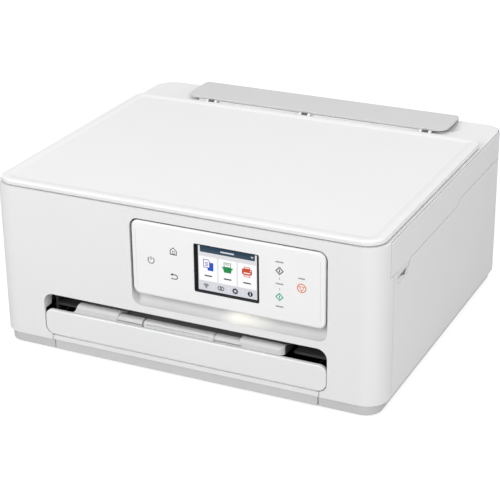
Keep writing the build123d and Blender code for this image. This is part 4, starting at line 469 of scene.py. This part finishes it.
headWide, headHigh, line, footLine = (screen[k] for k in ("headWide", "headHigh", "line", "footLine"))
top = screen["high"] / 2
foot = screen["footHigh"] / 2 - top
cardV = top - screen["cardTop"] - screen["cardHigh"] / 2
iconV = cardV + screen["iconRise"]
copyU, scanU, printU = cardUs = [(screen["cardWide"] + screen["cardGap"]) * i for i in (-1, 0, 1)]
waveAt, cogAt, noteAt = (screen[k] for k in ("waveAt", "cogAt", "noteAt"))
toothTurns = [2 * math.pi * k / screen["cogTeeth"] for k in range(screen["cogTeeth"])]
teeth = [(cogAt + screen["cogReach"] * math.cos(a), screen["cogReach"] * math.sin(a)) for a in toothTurns]
pictures = {
    "screenHead": dict(level=0, pixels="litHead", at=(0, top), strokes=[
        (plate, headWide, headHigh, (0, -headHigh / 2), 1.0),
        (plate, headWide, headHigh / 2, (0, -headHigh / 4))]),
    "screenFoot": dict(level=0, pixels="litFoot", at=(0, foot), strokes=[
        (plate, screen["wide"], screen["footHigh"], (0, 0))]),
    "screenCards": dict(level=0, pixels="litCard", at=(0, cardV), strokes=[
        (plate, screen["cardWide"], screen["cardHigh"], (u, 0), 0.6) for u in cardUs]),
    "screenHeadMarks": dict(level=1, pixels="litFoot", at=(0, top), strokes=[
        (plate, 13.0, 1.3, (0, -3.2), 0.6),
        (shape, [(22.0, -2.6), (22.5, -2.1), (23.3, -2.9), (24.1, -2.1), (24.6, -2.6), (23.3, -4.0)])]),
    "screenNames": dict(level=1, pixels="litWord", at=(0, cardV - screen["nameDrop"]), strokes=[
        (plate, 7.4, 1.3, (u, 0), 0.6) for u in cardUs]),
    "copyBack": dict(level=1, pixels="litBlue", at=(copyU + 2.2, iconV - 1.6), strokes=[
        (plate, 5.6, 7.6, (0, 0), 0.3)]),
    "copyFront": dict(level=2, pixels="litCard", at=(copyU - 1.4, iconV + 0.9), strokes=[
        (plate, 6.2, 7.8, (0, 0), 0.3)]),
    "copyLines": dict(level=3, pixels="litIndigo", at=(copyU - 1.4, iconV + 0.9), strokes=[
        (shape, [(-3.1, -3.9), (3.1, -3.9), (3.1, 2.3), (1.5, 3.9), (-3.1, 3.9)], line),
        *((plate, 3.0, line, (0, v)) for v in (0.9, -0.5, -1.9))]),
    "scanMark": dict(level=1, pixels="litGreen", at=(scanU, iconV), strokes=[
        (shape, corners(3.4, 0.6, 4.9), line), (plate, 4.0, line, (0, 3.2)), (plate, 10.2, 1.3, (0, -0.1), 0.3),
        (shape, [(-4.2, -0.7), (-3.2, -4.4), (3.2, -4.4), (4.2, -0.7)])]),
    "printMark": dict(level=1, pixels="litRed", at=(printU, iconV), strokes=[
        (plate, 9.4, 5.2, (0, 0), 0.9), (shape, corners(3.0, 2.6, 4.6), line),
        (shape, corners(3.0, -4.8, -2.6), line)]),
    "printSlot": dict(level=2, pixels="litCard", at=(printU, iconV), strokes=[
        (plate, 6.0, 0.9, (0, -1.2), 0.3), (disc, 0.5, (3.4, 1.2), 12)]),
    "footWaves": dict(level=1, pixels="litWord", at=(0, foot), strokes=[
        *((arc, radius, footLine, waveAt, 45, 90) for radius in (1.3, 2.4, 3.5)), (disc, 0.6, waveAt, 16),
        *((arc, 1.7, footLine, (u, 0)) for u in screen["linkAt"])]),
    "footCog": dict(level=1, pixels="litNavy", at=(0, foot), strokes=[
        (arc, 1.7, 1.1, (cogAt, 0)), *((disc, 0.6, tooth, 8) for tooth in teeth),
        (disc, 2.4, (noteAt, 0), 32)]),
    "footNote": dict(level=2, pixels="litCard", at=(noteAt, foot), strokes=[
        (plate, 0.7, 1.7, (0, -0.4)), (disc, 0.45, (0, 1.2), 12)]),
    "footLines": dict(level=1, pixels="litCard", at=(0, foot), strokes=[
        (plate, 0.25, 5.0, (u, 0)) for u in (-13.7, 0.7, 14.1)]),
}
for name, picture in pictures.items():
    u, v = picture["at"]
    place = (screenMiddle.x + u * mm, screenLow.y - picture["level"] * screen["layer"] * mm,
             screenMiddle.z + v * mm)
    printOnFront(name, picture["strokes"], place, screen["layer"], lit[picture["pixels"]])
print("display picture made")


def block(bm, low, high):  # a box between two corners, to be bevelled
    verts = bmesh.ops.create_cube(bm, size=1.0)["verts"]
    bmesh.ops.scale(bm, vec=high - low, verts=verts)
    bmesh.ops.translate(bm, vec=(low + high) / 2, verts=verts)


def roundEdges(bm, edges, offset, segments):  # rolls edges over
    bmesh.ops.bevel(bm, geom=edges, offset=offset, segments=segments, profile=0.5, affect="EDGES", material=-1)


padding = dict(edgeSteps=3, splitOver=8, faceDepth=0.2, swell=4)  # lengths in edge radii, power of the swelling


def cushion(low, high, edge, cuts, crown):  # a block with soft edges whose lower face swells a little
    bm = bmesh.new()
    block(bm, low, high)
    roundEdges(bm, bm.edges[:], edge * mm, padding["edgeSteps"])
    longEdges = [e for e in bm.edges if e.calc_length() > padding["splitOver"] * edge * mm]
    bmesh.ops.subdivide_edges(bm, edges=longEdges, cuts=cuts, use_grid_fill=True)
    middle, reach = (low + high) / 2, (high - low) / 2
    for v in bm.verts:
        if v.co.z < low.z + padding["faceDepth"] * edge * mm:
            u, w = (v.co.x - middle.x) / reach.x, (v.co.y - middle.y) / reach.y
            v.co.z += crown * mm * (1 - (1 - u ** padding["swell"]) * (1 - w ** padding["swell"]))
    return bm


# Mat under the lid: a grey foam core and a white film that faces the glass, in millimetres
padLow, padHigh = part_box("document_pad")
mat = dict(film=0.6, rim=2.0, edge=0.7, filmEdge=0.35, crown=0.25, cuts=12)
foamLow = padLow + Vector((mat["rim"], mat["rim"], mat["film"])) * mm
foamHigh = padHigh - Vector((mat["rim"], mat["rim"], 0)) * mm
foamMat = finishPiece("documentFoam", cushion(foamLow, foamHigh, mat["edge"], mat["cuts"], 0), padFoam,
                      "document_lid")
filmHigh = Vector((padHigh.x, padHigh.y, padLow.z + 2 * mat["film"] * mm))
filmSheet = finishPiece("documentFilm", cushion(padLow, filmHigh, mat["filmEdge"], mat["cuts"], mat["crown"]),
                        padFilm, "document_lid")
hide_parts("document_pad")

# Felt that soaks up waste ink, in millimetres
wasteLow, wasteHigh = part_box("waste_ink_pad")
waste = dict(edge=1.6, cuts=14, crown=0.6)
wasteFelt = finishPiece("wasteFelt", cushion(wasteLow, wasteHigh, waste["edge"], waste["cuts"], waste["crown"]),
                        felt, "casing")
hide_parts("waste_ink_pad")
print("soft pads made")

# Flare at the left end of the output tray, an S-shaped slope down to its floor, in millimetres
trayLow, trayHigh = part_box("output_tray")
flare = dict(wide=4.8, overlap=6.5, deep=7.0, roll=4.0, steps=16, skin=0.05, floor=0.2)
slopes = bmesh.new()
sheet = bmesh.ops.create_grid(slopes, x_segments=flare["steps"], y_segments=flare["steps"], size=0.5)["verts"]
for v in sheet:
    out, behind = (v.co.x + 0.5) * (flare["wide"] + flare["overlap"]), (v.co.y + 0.5) * flare["deep"]
    along = min(1.0, out / flare["wide"])
    rise = (trayHigh.z - trayLow.z - flare["skin"] * mm) * along ** 2 * (3 - 2 * along)
    over = max(0.0, flare["roll"] - behind)  # the front edge rolls over as the tray's own does
    drop = (flare["roll"] - math.sqrt(flare["roll"] ** 2 - over ** 2)) * mm
    v.co = (trayLow.x + (out - flare["wide"]) * mm, trayLow.y + (behind + flare["skin"]) * mm,
            trayLow.z + max(rise - drop, flare["floor"] * mm))
for v in vertsOf(bmesh.ops.extrude_face_region(slopes, geom=slopes.faces[:], use_keep_orig=True)["geom"]):
    v.co.z = trayLow.z
finishPiece("trayFlare", slopes, plastic["trayGreyAbs"], "out_tray")

# Handle of the output extension: rolled over in front, ends rounded, a finger groove along it, in millimetres
gripLow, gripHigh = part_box("extension_handle")
grip = dict(roll=3.6, rollSteps=6, ends=2.6, endSteps=4, margin=5.0, rim=0.05, depth=1.6, clear=1.0,
            facing=(0, -0.924, 0.383), within=0.985)
bar = bmesh.new()
block(bar, gripLow, gripHigh)
gripBack, gripFoot = gripHigh.y - grip["clear"] * mm, gripLow.z + grip["clear"] * mm
frontEdge = [e for e in bar.edges if all(v.co.y < gripBack and v.co.z > gripFoot for v in e.verts)]
roundEdges(bar, frontEdge, grip["roll"] * mm, grip["rollSteps"])
endEdges = [e for e in bar.edges if e.verts[0].co.x * e.verts[1].co.x > 0
            and any(v.co.z > gripFoot for v in e.verts) and any(v.co.y < gripBack for v in e.verts)]
roundEdges(bar, endEdges, grip["ends"] * mm, grip["endSteps"])
grooveEnds = gripLow.x + grip["margin"] * mm, gripHigh.x - grip["margin"] * mm
for x in grooveEnds:
    bmesh.ops.bisect_plane(bar, geom=bar.verts[:] + bar.edges[:] + bar.faces[:], plane_co=(x, 0, 0),
                           plane_no=(1, 0, 0))
bar.normal_update()
groove = [f for f in bar.faces if f.normal.dot(Vector(grip["facing"])) > grip["within"]
          and grooveEnds[0] < f.calc_center_median().x < grooveEnds[1]]
bmesh.ops.inset_region(bar, faces=groove, thickness=grip["rim"] * mm, depth=-grip["depth"] * mm,
                       use_even_offset=True)
gripBar = finishPiece("extensionGrip", bar, plastic["trayGreyAbs"], "out_extension")
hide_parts("extension_handle")

# White sill on the deck, close under the front edge of the paper support, in millimetres
supportLow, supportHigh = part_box("paper_support")
sill = dict(inset=14.0, behind=0.6, deep=3.6, deck=155.9, top=158.6, edge=0.6, cuts=2)
sillLow = Vector((supportLow.x + sill["inset"] * mm, supportLow.y + sill["behind"] * mm, sill["deck"] * mm))
sillHigh = Vector((supportHigh.x - sill["inset"] * mm, sillLow.y + sill["deep"] * mm, sill["top"] * mm))
finishPiece("supportSill", cushion(sillLow, sillHigh, sill["edge"], sill["cuts"], 0), plastic["whiteAbs"],
            "scanner_unit")

# Dark lip inside each side cover, seen only through the parting line: a dark piece put there as painted shade for
# the seam, in millimetres
lip = dict(outside=185.0, thick=0.8, low=121.5, high=130.6, front=-96.0, back=150.0, edge=0.2, edgeSteps=2)
lips = bmesh.new()
lipReach = Vector((lip["thick"], lip["back"] - lip["front"], lip["high"] - lip["low"])) / 2
for side in (-1, 1):
    lipMiddle = Vector((side * (lip["outside"] - lipReach.x), lip["front"] + lipReach.y, lip["low"] + lipReach.z))
    block(lips, lipMiddle - lipReach, lipMiddle + lipReach)
roundEdges(lips, lips.edges[:], lip["edge"], lip["edgeSteps"])
bmesh.ops.transform(lips, matrix=Matrix.Scale(mm, 4), verts=lips.verts)
finishPiece("seamShadeLips", lips, plastic["slateAbs"], "casing")

# Aprons that close the side covers behind the sloped end of each finger scoop, in millimetres; their grey is
# painted shade for the recess
scoop = dict(wallInside=185.2, inner=180.2, roundAt=(-111.67, 120.0), radius=8.0, firstTurn=18.0, slope=51.6,
             steps=5, run=11.5, thick=1.0)
aprons = bmesh.new()
first, slope = (math.radians(scoop[k]) for k in ("firstTurn", "slope"))
midY, midZ = scoop["roundAt"]
for side in (-1, 1):
    start = aprons.verts.new((side * scoop["wallInside"], midY + scoop["radius"] * math.sin(first),
                              midZ - scoop["radius"] * math.cos(first)))
    bend = bmesh.ops.spin(aprons, geom=[start], cent=(start.co.x, midY, midZ), axis=(1, 0, 0),
                          angle=slope - first, steps=scoop["steps"])["geom_last"]
    ramp = bmesh.ops.extrude_vert_indiv(aprons, verts=vertsOf(bend))["verts"]
    bmesh.ops.translate(aprons, vec=(0, scoop["run"] * math.cos(slope), scoop["run"] * math.sin(slope)),
                        verts=ramp)
    profile = [e for e in aprons.edges if not e.link_faces]
    inwards = bmesh.ops.extrude_edge_only(aprons, edges=profile)["geom"]
    bmesh.ops.translate(aprons, vec=(side * (scoop["inner"] - scoop["wallInside"]), 0, 0),
                        verts=vertsOf(inwards))
bmesh.ops.transform(aprons, matrix=Matrix.Scale(mm, 4), verts=aprons.verts)
bmesh.ops.recalc_face_normals(aprons, faces=aprons.faces)
for face in aprons.faces:
    if face.normal.z > 0:
        face.normal_flip()
bmesh.ops.solidify(aprons, geom=aprons.faces[:], thickness=-scoop["thick"] * mm)
# grey ABS here is painted shade in the finger scoop
finishPiece("scoopShadeAprons", aprons, plastic["ashAbs"], "casing")
print("flare, grip, sill, lips and aprons made")

# The studio: a pale paper floor that is white to the eye, in metres
studio = dict(floorSize=6.0, floorColour="#FBFBFB", floorShade="#F9F9F9", grainMm=300, grainDetail=2.0,
              floorShine=1.3, shineShare=0.6)
floorMesh = bmesh.new()
bmesh.ops.create_grid(floorMesh, x_segments=1, y_segments=1, size=studio["floorSize"])
paper, tree, output, coords = newMaterial("studioPaper")
grain = noise(tree, coords, studio["grainMm"], studio["grainDetail"])
matt = addNode(tree, "ShaderNodeBsdfDiffuse", None,
               {"Color": blend(tree, studio["floorShade"], studio["floorColour"], grain)})
seen = addNode(tree, "ShaderNodeLightPath").outputs["Is Camera Ray"]
lift = addNode(tree, "ShaderNodeMath", {1: studio["floorShine"]}, {0: seen}, operation="MULTIPLY")
shine = addNode(tree, "ShaderNodeEmission", {"Color": linear("#FFFFFF")}, {"Strength": lift.outputs[0]})
mixed = addNode(tree, "ShaderNodeMixShader", {0: studio["shineShare"]}, {1: matt.outputs[0], 2: shine.outputs[0]})
tree.links.new(mixed.outputs[0], output.inputs[0])
meshObject("floor", floorMesh, paper)

# White surroundings: plain to the eye, even for soft light, brighter overhead in reflections
around = dict(seen=1.0, soft=0.52, low=0.0, high=0.75, dim=0.0, bright=2.4)
world = bpy.data.worlds.new("studioWhite")
bpy.context.scene.world = world
world.use_nodes = True
tree = world.node_tree
tree.nodes.clear()
rays = addNode(tree, "ShaderNodeLightPath").outputs
heading = addNode(tree, "ShaderNodeTexCoord").outputs["Generated"]
height = addNode(tree, "ShaderNodeSeparateXYZ", None, {0: heading}).outputs["Z"]
canopy = addNode(tree, "ShaderNodeMapRange", {"From Min": around["low"], "From Max": around["high"],
                 "To Min": around["dim"], "To Max": around["bright"]}, {"Value": height}).outputs[0]
direct = addNode(tree, "ShaderNodeMath", None, {0: rays["Is Camera Ray"], 1: rays["Is Transmission Ray"]},
                 operation="MAXIMUM").outputs[0]
mirrored = addNode(tree, "ShaderNodeMix", {2: around["soft"]}, {0: rays["Is Glossy Ray"], 3: canopy}).outputs[0]
level = addNode(tree, "ShaderNodeMix", {3: around["seen"]}, {0: direct, 2: mirrored}).outputs[0]
sky = addNode(tree, "ShaderNodeBackground", {"Color": linear("#FFFFFF")}, {"Strength": level})
addNode(tree, "ShaderNodeOutputWorld", None, {0: sky.outputs[0]})

softBoxes = {  # square lamps, in metres and watts
    "frontSoftBox": dict(at=(-0.5, -1.7, 1.1), aim=(0, 0, 0.08), size=1.2, watts=22.2),
    "topSoftBox": dict(at=(0.45, 0.5, 1.65), aim=(0, 0, 0.1), size=1.4, watts=4.8),
    "sideSoftBox": dict(at=(1.8, -0.5, 0.4), aim=(0, 0, 0.08), size=1.0, watts=12.5),
}
for name, lampBox in softBoxes.items():
    data = bpy.data.lights.new(name, "AREA")
    data.size = lampBox["size"]
    data.energy = lampBox["watts"]
    made = addObject(name, data)
    made.location = lampBox["at"]
    towards = Vector(lampBox["aim"]) - Vector(lampBox["at"])
    made.rotation_euler = towards.to_track_quat("-Z", "Y").to_euler()
print("studio lit")

# Camera at the photograph's place, worked out from the printer's edges: degrees, metres and pixels
shot = dict(azimuth=25.312, elevation=23.4125, roll=-0.5428, distance=1.48798, target=(0, 0, 0.07),
            focal=1560.83, frame=500, axisX=259.43, axisY=238.05, sensorMm=36.0)
az, el, roll = (math.radians(shot[k]) for k in ("azimuth", "elevation", "roll"))
backward = Vector((math.sin(az) * math.cos(el), -math.cos(az) * math.cos(el), math.sin(el)))
sideways = Vector((math.cos(az), math.sin(az), 0))
upright = backward.cross(sideways)
right = math.cos(roll) * sideways + math.sin(roll) * upright
upward = -math.sin(roll) * sideways + math.cos(roll) * upright
cameraData = bpy.data.cameras.new("photoCamera")
camera = addObject("photoCamera", cameraData)
turn = Matrix((right, upward, backward)).transposed().to_4x4()
camera.matrix_world = Matrix.Translation(Vector(shot["target"]) + backward * shot["distance"]) @ turn
cameraData.sensor_width = shot["sensorMm"]
cameraData.lens = shot["focal"] / shot["frame"] * shot["sensorMm"]
cameraData.shift_x = (shot["frame"] / 2 - shot["axisX"]) / shot["frame"]
cameraData.shift_y = (shot["axisY"] - shot["frame"] / 2) / shot["frame"]
bpy.context.scene.camera = camera
bpy.context.scene.view_settings.view_transform = "Standard"
